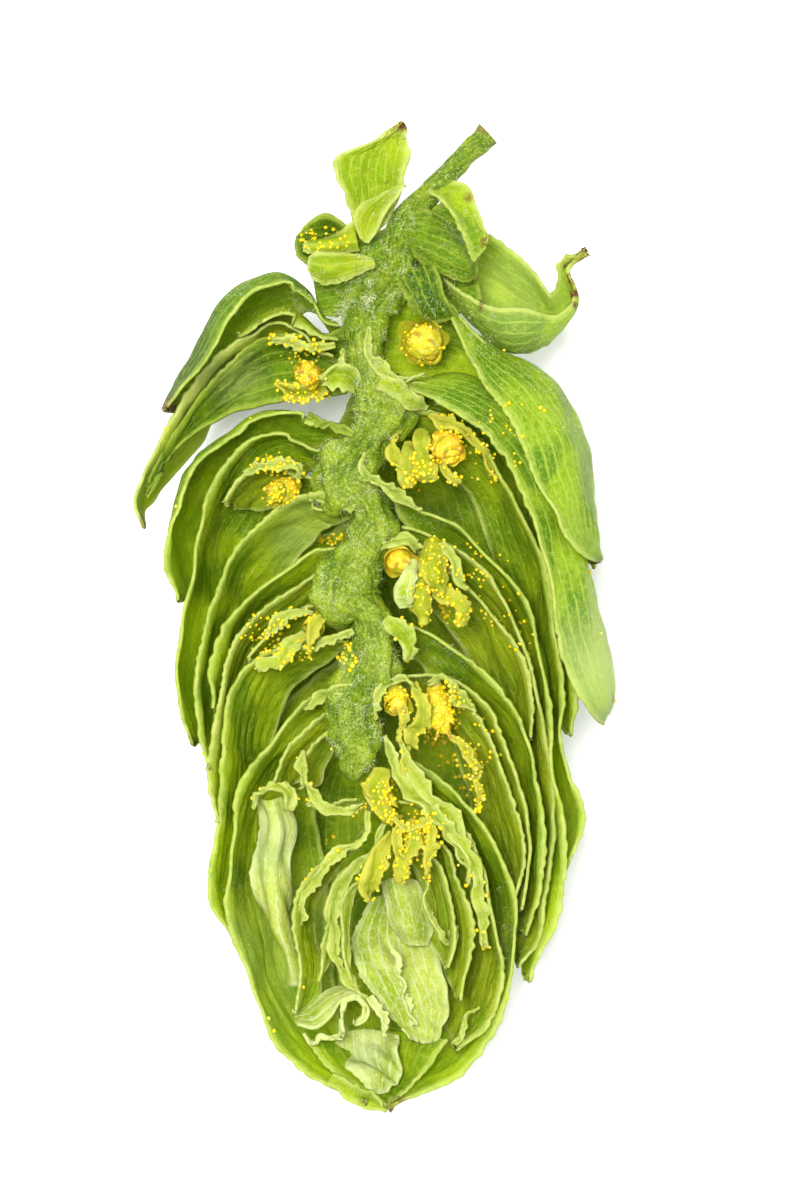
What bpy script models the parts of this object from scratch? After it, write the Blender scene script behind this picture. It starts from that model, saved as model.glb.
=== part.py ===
"""A hop cone cut in half lengthwise, lying on its rounded back with the cut face up.

The hairy strig runs along Y, with the stalk at +Y and the tip of the cone at -Y. Bracts and
bracteoles spring from it to the left and right, and are cut through at the cut plane; the back
bracts close the underside. The origin is at the centre of the bottom. Lengths below are in
millimetres and angles in degrees; the meshes are built in metres.
"""
from math import radians
from typing import NamedTuple

import bmesh
import bpy
import numpy as np
from mathutils import Vector

MM = 0.001

CONE_AXIS_X = -0.3      # the cone's axis, beside the origin
CUT_Z = 7.05            # height of the cut plane
DEPTH_RATIO = 0.84      # how deep the cone is below the cut plane, against its half width
RISE_RATIO = 0.5        # the same for a blade that stands above the cut plane
DROOP = 3.0             # how far a blade's keel hangs towards the tip, beyond its cut edge
DROOP_START_R = 4.0     # radius from which the droop is whole
TIP_Y = -19.6           # the cone's tip, where the droop has died out
DROOP_WHOLE_Y = 8.0     # from here up the droop is whole

BRACT_THICKNESS = 0.2
BRACT_ROWS = (9, 4)     # faces along and across a bract
LEAFLET_ROWS = (8, 3)   # the same for a bracteole
PATCH_ROWS = (6, 4)     # the same for a freely curved leaf
TIP_SHARE = 0.1         # share of its reach that a blade keeps at its tip
WIDENED = 0.45          # share of its length at which a blade has widened
HOLLOW_BELOW = 3.0      # a blade's hollow side is seen from this far below its middle, along Y


class Finish(NamedTuple):
    """A plain finish of one kind of tissue."""

    name: str
    colour: tuple
    roughness: float


STRIG_GREEN = Finish("strig", (0.36, 0.46, 0.16), 0.75)
BRACT_GREEN = Finish("bract", (0.30, 0.47, 0.05), 0.5)
BRACTEOLE_GREEN = Finish("bracteole", (0.52, 0.66, 0.20), 0.5)
PALE_GREEN = Finish("inner_bracteole", (0.70, 0.78, 0.45), 0.5)
FLORET_YELLOW = Finish("floret", (0.75, 0.62, 0.10), 0.45)


class Blade(NamedTuple):
    """A blade that wraps the cone's axis.

    section is its outer face in the cut plane, from the strig to the tip, as (x, y). reach is the
    range of angles that it covers below the cut plane. full is the share of its length that keeps
    the whole reach, before it narrows to the tip. root is the share of the reach at the strig.
    """

    name: str
    section: tuple
    reach: tuple
    finish: Finish
    full: float = 0.6
    root: float = 1.0


class Patch(NamedTuple):
    """A freely curved leaf, as rows of points across it, from the base to the tip.

    A point is (x, y, height above the cut plane).
    """

    name: str
    rows: tuple
    finish: Finish


LEFT_BLADES = (
    Blade("bract_left_1", ((-2.1, 12.1), (-2.7, 13.1), (-4.0, 13.9), (-5.2, 13.6), (-6.3, 12.6),
                           (-7.1, 11.2), (-7.8, 9.9), (-8.6, 8.3)), (-28, 46), BRACT_GREEN, 0.45),
    Blade("bracteole_left_1", ((-2.1, 11.4), (-3.0, 12.05), (-4.0, 12.35), (-4.9, 11.95),
                               (-5.6, 11.3)), (-22, 45), BRACTEOLE_GREEN),
    Blade("bract_left_2", ((-2.2, 10.7), (-3.0, 11.5), (-4.0, 11.85), (-5.2, 11.2), (-6.6, 9.9),
                           (-7.5, 8.6), (-8.6, 7.0), (-9.4, 5.8), (-9.7, 4.6), (-9.4, 3.6)),
          (0, 48), BRACTEOLE_GREEN, 0.35),
    Blade("bract_left_3", ((-2.2, 7.8), (-3.0, 8.15), (-4.0, 8.3), (-5.0, 8.1), (-6.0, 7.5),
                           (-7.0, 6.75), (-7.8, 5.7), (-8.2, 4.4), (-8.4, 2.6), (-8.0, 0.7)),
          (-15, 46), BRACT_GREEN, 0.5),
    Blade("bract_left_4", ((-2.4, 6.8), (-3.0, 7.15), (-3.8, 7.4), (-4.6, 7.2), (-5.6, 6.4),
                           (-6.4, 5.3), (-7.1, 3.6), (-7.4, 1.8), (-7.8, -0.4), (-8.05, -2.6),
                           (-7.5, -5.1)), (-4, 46), BRACT_GREEN, 0.5),
    Blade("bracteole_left_2", ((-3.0, 5.75), (-3.6, 6.1), (-4.5, 6.05), (-5.4, 5.5),
                               (-6.1, 4.6)), (0, 40), BRACTEOLE_GREEN),
    Blade("bract_left_5", ((-1.9, 4.4), (-2.8, 4.7), (-4.0, 4.1), (-5.0, 3.3), (-5.7, 2.4),
                           (-6.3, 1.0), (-6.8, -0.9), (-7.1, -2.8), (-7.0, -4.6), (-6.75, -6.1)),
          (0, 46), BRACT_GREEN, 0.5),
    Blade("bract_left_6", ((-1.8, 2.8), (-2.6, 2.55), (-3.6, 2.0), (-4.6, 1.3), (-5.4, 0.5),
                           (-6.0, -0.6), (-6.4, -2.0), (-6.65, -3.6)), (0, 44), BRACT_GREEN),
    Blade("bracteole_left_3", ((-1.8, 2.1), (-2.6, 1.6), (-3.6, 0.9), (-4.6, 0.2), (-5.4, -0.7),
                               (-5.9, -1.9), (-6.2, -3.4), (-6.4, -5.2), (-6.5, -6.9),
                               (-6.4, -8.2)), (0, 46), BRACTEOLE_GREEN),
    Blade("bracteole_left_4", ((-2.0, 0.6), (-2.9, 0.3), (-3.7, -0.2), (-4.5, -0.8),
                               (-5.2, -1.6)), (0, 40), BRACTEOLE_GREEN, 0.7),
    Blade("bract_left_7", ((-1.8, -0.9), (-2.9, -1.1), (-4.0, -1.4), (-5.0, -1.95), (-5.7, -3.0),
                           (-5.9, -4.4), (-6.0, -6.0), (-6.05, -7.6), (-6.4, -9.6), (-6.4, -11.2),
                           (-5.8, -12.7)), (0, 46), BRACT_GREEN, 0.6),
    Blade("bract_left_8", ((-1.9, -3.0), (-2.6, -3.3), (-3.3, -3.9), (-4.1, -4.8), (-4.8, -5.9),
                           (-5.4, -7.2), (-5.8, -9.0), (-5.85, -11.0), (-5.5, -13.0),
                           (-4.9, -15.0), (-4.0, -16.8), (-2.6, -18.1), (-0.9, -19.0)),
          (0, 72), BRACT_GREEN, 0.85, 0.6),
    Blade("bracteole_left_5", ((-1.7, -3.7), (-2.4, -4.3), (-3.2, -5.0), (-3.8, -5.8),
                               (-4.3, -6.8)), (0, 45), BRACTEOLE_GREEN),
    Blade("bracteole_left_6", ((-1.9, -4.5), (-2.4, -5.1), (-2.95, -5.8), (-3.1, -6.7)),
          (0, 45), BRACTEOLE_GREEN, 0.7),
    Blade("bracteole_left_7", ((-1.3, -7.3), (-1.9, -7.6), (-2.7, -7.4)), (0, 40),
          BRACTEOLE_GREEN, 0.8),
    Blade("bracteole_left_8", ((-1.2, -9.3), (-2.0, -10.0), (-2.8, -10.8), (-3.15, -11.8),
                               (-3.2, -12.9), (-3.05, -14.0), (-3.15, -15.0), (-3.3, -15.8)),
          (0, 40), BRACTEOLE_GREEN, 0.85),
    Blade("bracteole_left_9", ((-1.2, -10.0), (-1.7, -10.7), (-1.9, -11.7), (-2.0, -12.8),
                               (-2.2, -13.8), (-2.4, -14.5)), (0, 40), BRACTEOLE_GREEN, 0.5),
    Blade("bracteole_left_10", ((-1.05, -10.7), (-1.35, -11.5), (-1.45, -12.7), (-1.4, -13.6),
                                (-1.15, -14.5)), (0, 40), BRACTEOLE_GREEN, 0.7),
)

RIGHT_BLADES = (
    Blade("bract_right_1", ((1.4, 13.2), (2.6, 12.6), (3.7, 11.6), (5.0, 10.7), (6.4, 10.0),
                            (7.3, 9.3), (8.0, 8.2), (8.4, 6.7), (8.75, 5.2), (8.85, 3.8),
                            (8.9, 2.2)), (-44, 46), BRACT_GREEN, 0.6, 0.25),
    Blade("bract_right_2", ((0.9, 10.1), (2.0, 9.95), (3.2, 9.8), (4.4, 9.3), (5.5, 8.6),
                            (6.5, 7.5), (7.3, 6.0), (7.9, 4.4), (8.4, 2.6), (8.9, 0.6),
                            (9.4, -1.4), (9.5, -3.0), (9.0, -4.2)), (-38, 34), BRACT_GREEN, 0.5),
    Blade("bract_right_3", ((0.9, 9.3), (1.8, 9.15), (3.0, 9.0), (4.3, 8.6), (5.4, 7.8),
                            (6.3, 6.5), (6.9, 4.9), (7.3, 3.1), (7.55, 1.2), (7.7, -0.8),
                            (7.8, -2.8), (7.8, -4.7)), (-14, 46), BRACT_GREEN, 0.6),
    Blade("bract_right_4", ((0.9, 8.2), (1.9, 8.15), (2.9, 7.8), (4.0, 6.9), (5.0, 5.6),
                            (5.8, 4.1), (6.4, 2.6), (6.8, 0.9), (7.05, -0.9), (7.25, -2.8),
                            (7.4, -4.6), (7.75, -6.4), (8.05, -8.0), (7.6, -10.1)),
          (-6, 38), BRACT_GREEN, 0.6),
    Blade("bract_right_5", ((0.9, 5.0), (1.6, 4.4), (2.4, 4.0), (3.3, 3.5), (4.2, 2.7),
                            (5.1, 1.8), (5.9, 0.7), (6.4, -0.7), (6.75, -2.3), (6.95, -4.2),
                            (7.15, -6.2), (7.3, -8.2), (7.3, -10.0), (7.0, -11.9),
                            (6.5, -13.3), (6.0, -14.5)), (-10, 44), BRACT_GREEN, 0.45),
    Blade("bracteole_right_1", ((1.5, 3.6), (2.3, 3.2), (3.3, 2.5), (4.3, 1.6), (5.2, 0.5),
                                (5.85, -0.9), (6.25, -2.4), (6.5, -4.1), (6.7, -5.9), (6.85, -7.6),
                                (6.85, -9.4), (6.65, -11.2), (6.25, -12.9), (5.75, -14.0)),
          (0, 46), BRACTEOLE_GREEN, 0.6),
    Blade("bracteole_right_2", ((1.9, 2.6), (2.7, 2.0), (3.6, 1.2), (4.5, 0.3), (5.2, -0.8),
                                (5.7, -2.0), (6.0, -3.4), (6.2, -4.8)), (0, 44),
          BRACTEOLE_GREEN),
    Blade("bract_right_6", ((0.7, -0.1), (1.4, -0.3), (2.4, -0.8), (3.5, -1.6), (4.5, -2.6),
                            (5.4, -3.6), (6.0, -4.9), (6.3, -6.4), (6.5, -8.0), (6.5, -9.6),
                            (6.35, -11.2), (6.0, -12.7)), (-8, 46), BRACT_GREEN, 0.6),
    Blade("bract_right_7", ((1.2, -2.3), (2.2, -2.3), (3.2, -2.6), (4.0, -3.3), (4.7, -4.4),
                            (5.3, -5.7), (5.8, -7.2), (6.1, -8.8), (6.1, -10.3), (5.85, -11.7)),
          (0, 46), BRACTEOLE_GREEN, 0.6),
    Blade("bracteole_right_3", ((3.2, -3.4), (3.9, -4.0), (4.5, -5.0), (4.95, -6.2),
                                (5.3, -7.5), (5.65, -8.8), (5.8, -10.0), (5.7, -11.2)), (0, 42),
          BRACTEOLE_GREEN, 0.5),
    Blade("bract_right_8", ((1.2, -5.7), (1.9, -6.3), (2.8, -7.0), (3.7, -7.8), (4.5, -8.8),
                            (5.1, -10.0), (5.45, -11.3), (5.5, -12.7), (5.35, -14.2),
                            (4.9, -15.7), (4.1, -17.0), (2.9, -18.2), (1.6, -18.9),
                            (0.5, -19.7)), (0, 104), BRACT_GREEN, 0.85, 0.42),
    Blade("bracteole_right_4", ((1.3, -7.4), (2.1, -7.9), (3.0, -8.5), (3.8, -9.5), (4.4, -10.7),
                                (4.65, -12.0), (4.85, -13.4), (4.8, -14.7), (4.3, -16.1),
                                (3.3, -17.4)), (0, 60), BRACTEOLE_GREEN, 0.7),
    Blade("bracteole_right_5", ((2.5, -9.0), (3.0, -10.2), (3.4, -11.4), (3.65, -12.8),
                                (3.6, -14.1), (3.4, -15.3)), (0, 46), BRACTEOLE_GREEN),
    Blade("bracteole_right_6", ((2.2, -9.6), (2.7, -10.8), (3.0, -12.0), (3.05, -13.1),
                                (2.85, -14.0)), (0, 45), BRACTEOLE_GREEN),
)

# The underside: bracts laid like roof tiles, on one side of the keel and the other by turns.
BACK_LEAN = 10.0                 # their middle lies this far from straight down
BACK_REACH = 44.0                # their half width
BACK_ROOT = 0.3                  # share of the width where they pass between the side blades
BACK_WIDENED = 0.7               # share of the length at which they reach their whole width
BACK_FULL = 0.65                 # share of the length from which they narrow to the tip
BACK_BRACTS = (
    ((2.0, 12.4), (3.6, 13.2), (5.6, 12.8), (7.4, 11.2), (8.6, 8.8), (9.0, 6.4), (8.9, 4.2)),
    ((2.0, 9.6), (3.6, 10.0), (5.6, 9.4), (7.4, 7.7), (8.0, 5.6), (8.2, 4.0), (8.55, 2.0),
     (8.6, 0.2)),
    ((2.0, 5.4), (3.6, 5.6), (5.6, 4.9), (7.1, 3.3), (7.8, 1.2), (8.05, -0.4), (8.5, -2.3),
     (8.55, -4.2)),
    ((2.0, 1.2), (3.6, 1.2), (5.6, 0.4), (7.2, -1.4), (7.9, -3.4), (8.1, -4.8), (8.5, -6.7),
     (8.5, -8.6)),
    ((2.0, -3.0), (3.6, -3.2), (5.5, -4.2), (6.9, -5.8), (7.6, -8.2), (7.8, -10.8),
     (7.3, -13.0)),
    ((2.0, -6.6), (3.6, -7.2), (5.2, -8.4), (6.4, -10.4), (6.8, -12.6), (6.5, -14.8),
     (5.5, -16.6), (4.3, -17.8)),
)

PATCHES = (
    Patch("crown_leaf", (
        ((-0.95, 15.4, 0.3), (-0.55, 15.1, 0.0), (-0.2, 15.4, 0.3)),
        ((-1.5, 16.9, 0.8), (-0.3, 16.8, 0.1), (0.8, 16.8, 0.6)),
        ((-1.8, 18.15, 0.9), (-0.2, 18.0, 0.2), (1.2, 17.9, 0.7)),
        ((-0.5, 18.85, 0.7), (0.3, 18.9, 0.3), (1.15, 18.8, 0.6)),
        ((0.8, 19.7, 0.5), (0.95, 19.75, 0.45), (1.05, 19.6, 0.5))), BRACTEOLE_GREEN),
    Patch("crown_leaf_small", (
        ((-0.6, 15.2, 1.5), (-0.1, 15.1, 1.3), (0.3, 15.3, 1.4)),
        ((-0.9, 16.0, 1.9), (-0.1, 15.9, 1.6), (0.6, 16.0, 1.8)),
        ((-0.5, 16.8, 1.8), (0.1, 16.9, 1.6), (0.6, 16.8, 1.7))), BRACTEOLE_GREEN),
    Patch("hooded_bract_left", (
        ((-1.3, 14.2, 0.0), (-1.1, 14.9, 0.6), (-1.0, 15.7, 0.2)),
        ((-2.2, 14.0, 0.5), (-2.0, 15.1, 1.3), (-1.9, 16.0, 0.4)),
        ((-2.9, 13.9, 0.4), (-2.9, 14.9, 1.0), (-2.8, 15.7, 0.2)),
        ((-3.2, 14.1, -0.1), (-3.3, 14.6, 0.0), (-3.25, 15.2, -0.2))), BRACT_GREEN),
    Patch("leaflet_left", (
        ((-1.2, 13.7, 1.1), (-1.1, 14.0, 1.2), (-1.0, 14.3, 1.1)),
        ((-1.9, 13.2, 1.3), (-1.8, 13.8, 1.8), (-1.7, 14.5, 1.5)),
        ((-2.6, 13.4, 1.3), (-2.6, 13.8, 1.5), (-2.5, 14.2, 1.3))), BRACTEOLE_GREEN),
    Patch("hooded_bract_right", (
        ((2.1, 16.7, 1.2), (1.8, 15.9, 0.4), (1.7, 15.1, 0.2), (1.9, 14.5, 0.7)),
        ((3.0, 17.2, 1.3), (2.7, 16.1, 0.1), (2.5, 15.0, -0.2), (2.6, 13.9, 0.7)),
        ((3.7, 16.8, 1.4), (3.5, 15.8, 0.4), (3.3, 14.8, 0.1), (3.3, 13.8, 0.8)),
        ((4.3, 15.9, 1.5), (4.2, 15.4, 1.2), (4.1, 14.8, 1.0), (3.9, 14.1, 1.2))), BRACT_GREEN),
    Patch("basal_bract_right", (
        ((2.9, 14.3, -1.4), (2.6, 13.8, -1.6), (2.5, 13.3, -0.9), (2.5, 13.5, -0.3),
         (2.5, 13.7, 0.0)),
        ((4.0, 15.3, -1.5), (3.8, 13.8, -2.2), (3.6, 12.3, -1.0), (3.6, 12.5, 0.5),
         (3.5, 12.9, 1.2)),
        ((5.4, 14.7, -1.5), (5.2, 13.0, -2.2), (5.2, 10.95, -0.8), (5.0, 11.4, 0.9),
         (4.8, 12.45, 1.5)),
        ((6.3, 13.8, -1.4), (6.3, 12.6, -1.9), (6.4, 10.8, -0.6), (6.2, 11.3, 0.8),
         (6.1, 12.3, 1.4)),
        ((6.9, 13.0, -0.9), (7.1, 12.4, -1.1), (7.4, 11.7, -0.2), (7.3, 12.0, 0.6),
         (7.1, 12.3, 0.9)),
        ((7.2, 13.5, -0.3), (7.45, 13.3, -0.4), (7.85, 12.7, 0.0), (7.8, 12.9, 0.4),
         (7.6, 13.2, 0.5)),
        ((7.35, 14.3, 0.0), (7.5, 14.2, -0.1), (7.7, 14.1, 0.0), (7.75, 14.15, 0.1),
         (7.7, 14.25, 0.2)),
        ((8.3, 14.7, 0.1), (8.35, 14.65, 0.1), (8.4, 14.6, 0.1), (8.42, 14.62, 0.15),
         (8.4, 14.65, 0.2))), BRACT_GREEN),
    Patch("folded_bracteole", (
        ((-4.6, -7.3, -0.8), (-4.3, -7.2, -0.4), (-3.9, -7.4, -0.9)),
        ((-4.8, -8.6, -0.9), (-4.2, -8.7, -0.3), (-3.4, -8.6, -1.0)),
        ((-4.85, -10.0, -1.0), (-4.3, -10.2, -0.4), (-3.65, -10.4, -1.1)),
        ((-4.6, -11.7, -1.2), (-4.2, -12.0, -0.6), (-3.75, -12.1, -1.3)),
        ((-4.3, -13.2, -1.6), (-3.9, -13.4, -0.9), (-3.5, -13.6, -1.6)),
        ((-4.1, -14.6, -1.8), (-3.85, -14.8, -1.2), (-3.6, -15.0, -1.8))), PALE_GREEN),
    Patch("rolled_bracteole", (
        ((-3.1, -16.6, -1.6), (-3.1, -16.7, -0.9), (-3.2, -16.3, -0.2)),
        ((-2.4, -16.6, -1.7), (-2.4, -16.6, -1.0), (-2.3, -16.1, -0.3)),
        ((-1.7, -16.2, -1.7), (-1.7, -16.2, -1.0), (-1.6, -15.7, -0.3)),
        ((-1.1, -15.6, -1.6), (-1.1, -15.7, -1.0), (-1.0, -15.4, -0.4))), PALE_GREEN),
    Patch("inner_bracteole_large", (
        ((-0.2, -11.2, -2.4), (0.6, -11.0, -2.7), (1.4, -11.0, -2.4)),
        ((-0.7, -13.2, -2.3), (0.6, -13.2, -2.9), (1.9, -13.2, -2.4)),
        ((-0.2, -15.0, -2.0), (0.9, -15.0, -2.5), (2.2, -15.0, -2.1)),
        ((0.8, -16.6, -1.7), (1.5, -16.8, -1.9), (2.3, -16.5, -1.6))), PALE_GREEN),
    Patch("inner_bracteole_small", (
        ((0.3, -10.6, -1.2), (0.8, -10.4, -1.0), (1.4, -10.6, -1.2)),
        ((0.5, -11.8, -1.4), (1.2, -11.8, -1.0), (1.85, -11.8, -1.4)),
        ((1.2, -13.1, -1.5), (1.5, -13.15, -1.3), (1.85, -13.1, -1.5))), PALE_GREEN),
    Patch("tip_bracteole", (
        ((-1.7, -16.9, -1.9), (-0.6, -17.0, -2.4), (0.6, -17.0, -2.0)),
        ((-1.3, -17.7, -1.3), (-0.4, -17.8, -1.7), (0.8, -17.8, -1.3)),
        ((-0.5, -18.5, -0.6), (0.0, -18.6, -0.8), (0.6, -18.5, -0.6))), PALE_GREEN),
)

PATCH_HOLLOW = 3.0               # a freely curved leaf's hollow side is seen from this far above

# Florets: centre, half length, half width, and the way each points, in the cut plane's x and y.
FLORETS = {
    "floret_left_1": ((-2.9, 9.5, 0.0), 0.75, 0.55, (-0.7, -0.5)),
    "floret_left_2": ((-4.0, 5.0, -0.2), 0.7, 0.5, (-1.0, -0.2)),
    "floret_left_3": ((-2.6, -0.3, 0.3), 0.6, 0.42, (-0.4, -1.0)),
    "floret_right_1": ((1.9, 11.1, 0.4), 0.85, 0.75, (0.7, -0.5)),
    "floret_right_2": ((2.4, 6.5, 0.3), 0.95, 0.7, (0.6, 0.4)),
    "floret_right_3": ((1.35, 1.9, 0.9), 0.95, 0.6, (0.5, -1.0)),
    "floret_right_4": ((1.4, -3.7, 0.7), 1.0, 0.55, (0.2, -1.0)),
    "floret_right_5": ((2.6, -3.75, -0.3), 0.85, 0.55, (0.3, -1.0)),
    "floret_tip_1": ((0.3, -7.2, 0.3), 0.7, 0.45, (0.3, -1.0)),
    "floret_tip_2": ((1.2, -9.3, 0.2), 0.8, 0.7, (0.1, -1.0)),
}

FLORET_TAPER = 0.25              # how much narrower a floret is at its end than at its middle
FLORET_ROUNDS = 2                # how often its ball is divided

# The stalk and the strig as one stem, from the cut end of the stalk: x, y, radius.
STEM = (
    (4.45, 19.35, 0.50), (3.9, 18.85, 0.48), (3.0, 17.95, 0.50), (2.1, 17.0, 0.52),
    (1.3, 16.0, 0.62), (0.7, 14.9, 0.85), (0.2, 13.6, 1.12), (-0.3, 12.2, 1.18),
    (-0.65, 10.8, 1.05), (-0.8, 9.3, 1.05), (-0.85, 7.9, 1.1), (-1.0, 6.6, 1.15),
    (-1.1, 5.5, 1.25), (-0.7, 4.2, 0.95), (-0.45, 3.0, 1.0), (-0.35, 1.6, 0.95),
    (-0.5, 0.2, 1.0), (-0.6, -1.0, 0.95), (-0.5, -2.3, 1.05), (-0.3, -3.5, 1.1),
    (-0.2, -4.7, 0.95), (-0.3, -5.7, 0.65), (-0.35, -6.3, 0.3),
)
STEM_STEPS = 36
STEM_ROUNDS = 2                  # bevel resolution of the stem
STEM_RAISE = 0.1                 # the stem's middle stands this far above the cut plane


def clear_scene():
    """Remove whatever the scene holds."""
    for existing in list(bpy.data.objects):
        bpy.data.objects.remove(existing, do_unlink=True)


def tissue(finish):
    """Return the material of a finish, made once."""
    material = bpy.data.materials.get(finish.name)
    if material is None:
        material = bpy.data.materials.new(finish.name)
        material.use_nodes = True
        shader = material.node_tree.nodes["Principled BSDF"]
        shader.inputs["Base Color"].default_value = (*finish.colour, 1.0)
        shader.inputs["Roughness"].default_value = finish.roughness
        shader.inputs["Metallic"].default_value = 0.0
    return material


def smooth_path(points, where):
    """Return a smooth curve through points, read at shares of its length from 0 to 1."""
    points = np.asarray(points, dtype=float)
    gaps = np.linalg.norm(np.diff(points, axis=0), axis=-1)
    gaps = gaps.reshape(len(gaps), -1).mean(axis=1)
    at = np.concatenate(([0.0], np.cumsum(gaps)))
    slopes = np.gradient(points, at, axis=0)
    reading = np.asarray(where) * at[-1]
    index = np.clip(np.searchsorted(at, reading, side="right") - 1, 0, len(gaps) - 1)
    extra = (1,) * (points.ndim - 1)
    gap = gaps[index].reshape(-1, *extra)
    t = ((reading - at[index]) / gaps[index]).reshape(-1, *extra)
    start = (2 * t**3 - 3 * t**2 + 1) * points[index] + (t**3 - 2 * t**2 + t) * gap * slopes[index]
    end = (3 * t**2 - 2 * t**3) * points[index + 1] + (t**3 - t**2) * gap * slopes[index + 1]
    return start + end


def smoothstep(share):
    """Ease a share from 0 to 1."""
    share = np.clip(share, 0.0, 1.0)
    return share * share * (3.0 - 2.0 * share)


def on_cone(radius, y, angle):
    """Return points at a radius from the cone's axis, turned below the cut plane by an angle."""
    whole = np.clip((y - TIP_Y) / (DROOP_WHOLE_Y - TIP_Y), 0.0, 1.0)
    droop = DROOP * whole * smoothstep(np.abs(radius) / DROOP_START_R)
    ratio = np.where(np.sin(angle) > 0.0, DEPTH_RATIO, RISE_RATIO)
    x = CONE_AXIS_X + radius * np.cos(angle)
    z = CUT_Z - ratio * np.abs(radius) * np.sin(angle)
    return np.stack((x, y - droop * np.sin(angle) ** 2, np.maximum(z, 0.0)), axis=-1)


def blade_share(along, full, root, widened=WIDENED):
    """Return how much of its reach a blade covers, along its length.

    It widens from its root until widened, and narrows from full to its tip.
    """
    past = np.clip((along - full) / (1.0 - full), 0.0, 1.0)
    narrowing = TIP_SHARE + (1.0 - TIP_SHARE) * np.sqrt(1.0 - past**2)
    return narrowing * (root + (1.0 - root) * smoothstep(along / widened))


def add_sheet(name, place, finish, rows, hollow_side):
    """Add a thin closed sheet.

    place takes arrays of shares along and across the sheet and returns its points in
    millimetres. hollow_side is a point on its hollow side; the thickness goes that way.
    """
    mesh = bpy.data.meshes.new(name)
    sheet = bmesh.new()
    bmesh.ops.create_grid(sheet, x_segments=rows[0], y_segments=rows[1], size=0.5)
    flat = np.array([vertex.co[:] for vertex in sheet.verts]) + 0.5
    for vertex, point in zip(sheet.verts, place(flat[:, 0], flat[:, 1])):
        vertex.co = Vector(point) * MM
    sheet.normal_update()
    hollow = Vector(hollow_side) * MM
    facing = sum(face.normal.dot(face.calc_center_median() - hollow) * face.calc_area()
                 for face in sheet.faces)
    if facing < 0.0:
        bmesh.ops.reverse_faces(sheet, faces=sheet.faces)
    sheet.to_mesh(mesh)
    sheet.free()
    piece = bpy.data.objects.new(name, mesh)
    bpy.context.collection.objects.link(piece)
    mesh.materials.append(tissue(finish))
    mesh.shade_smooth()
    wall = piece.modifiers.new("wall", "SOLIDIFY")
    wall.thickness = BRACT_THICKNESS * MM
    wall.offset = -1.0
    return piece


def add_blade(blade):
    """Add a blade that wraps the cone's axis."""
    section = np.array(blade.section)
    low, high = (radians(edge) for edge in blade.reach)

    def place(along, across):
        line = smooth_path(section, along)
        share = blade_share(along, blade.full, blade.root)
        angle = share * (low + (high - low) * across)
        return on_cone(line[:, 0] - CONE_AXIS_X, line[:, 1], angle)

    middle = section[len(section) // 2]
    rows = BRACT_ROWS if blade.name.startswith("bract_") else LEAFLET_ROWS
    add_sheet(blade.name, place, blade.finish, rows,
              (CONE_AXIS_X, middle[1] - HOLLOW_BELOW, CUT_Z))


def add_back_bract(number, section):
    """Add one bract of the underside."""
    section = np.array(section)
    centre = radians(90.0 + (BACK_LEAN if number % 2 else -BACK_LEAN))

    def place(along, across):
        line = smooth_path(section, along)
        share = blade_share(along, BACK_FULL, BACK_ROOT, BACK_WIDENED)
        angle = centre + radians(BACK_REACH) * share * (2.0 * across - 1.0)
        return on_cone(line[:, 0], line[:, 1], angle)

    middle = section[len(section) // 2]
    add_sheet(f"bract_back_{number}", place, BRACT_GREEN, BRACT_ROWS,
              (CONE_AXIS_X, middle[1] - HOLLOW_BELOW, CUT_Z))


def add_patch(patch):
    """Add a freely curved leaf."""
    rows = np.array(patch.rows)

    def place(along, across):
        points = []
        for share_along, share_across in zip(along, across):
            row = smooth_path(rows, np.array([share_along]))[0]
            points.append(smooth_path(row, np.array([share_across]))[0])
        return np.array(points) + (0.0, 0.0, CUT_Z)

    middle = rows[len(rows) // 2].mean(axis=0) + (0.0, 0.0, CUT_Z + PATCH_HOLLOW)
    add_sheet(patch.name, place, patch.finish, PATCH_ROWS, middle)


def add_floret(name, centre, half_length, half_width, heading):
    """Add a floret as an egg-shaped body."""
    mesh = bpy.data.meshes.new(name)
    egg = bmesh.new()
    bmesh.ops.create_icosphere(egg, subdivisions=FLORET_ROUNDS, radius=MM)
    long_way = Vector((*heading, 0.0)).normalized()
    turn = long_way.to_track_quat("Z", "Y").to_matrix()
    for vertex in egg.verts:
        taper = 1.0 - FLORET_TAPER * vertex.co.z / MM
        stretched = Vector((vertex.co.x * half_width * taper, vertex.co.y * half_width * taper,
                            vertex.co.z * half_length))
        vertex.co = turn @ stretched + Vector((centre[0], centre[1], centre[2] + CUT_Z)) * MM
    egg.to_mesh(mesh)
    egg.free()
    mesh.shade_smooth()
    mesh.materials.append(tissue(FLORET_YELLOW))
    bpy.context.collection.objects.link(bpy.data.objects.new(name, mesh))


def add_stem():
    """Add the stalk and the strig, which are one stem."""
    stations = smooth_path(STEM, np.linspace(0.0, 1.0, STEM_STEPS))
    curve = bpy.data.curves.new("strig", "CURVE")
    curve.dimensions = "3D"
    curve.bevel_depth = MM
    curve.bevel_resolution = STEM_ROUNDS
    curve.use_fill_caps = True
    line = curve.splines.new("POLY")
    line.points.add(len(stations) - 1)
    for point, (x, y, radius) in zip(line.points, stations):
        point.co = (x * MM, y * MM, (CUT_Z + STEM_RAISE) * MM, 1.0)
        point.radius = radius
    curve.materials.append(tissue(STRIG_GREEN))
    bpy.context.collection.objects.link(bpy.data.objects.new("strig", curve))


def main():
    """Build the half cone."""
    clear_scene()
    add_stem()
    for blade in LEFT_BLADES + RIGHT_BLADES:
        add_blade(blade)
    for number, section in enumerate(BACK_BRACTS, start=1):
        add_back_bract(number, section)
    for patch in PATCHES:
        add_patch(patch)
    for name, (centre, half_length, half_width, heading) in FLORETS.items():
        add_floret(name, centre, half_length, half_width, heading)


main()
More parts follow.
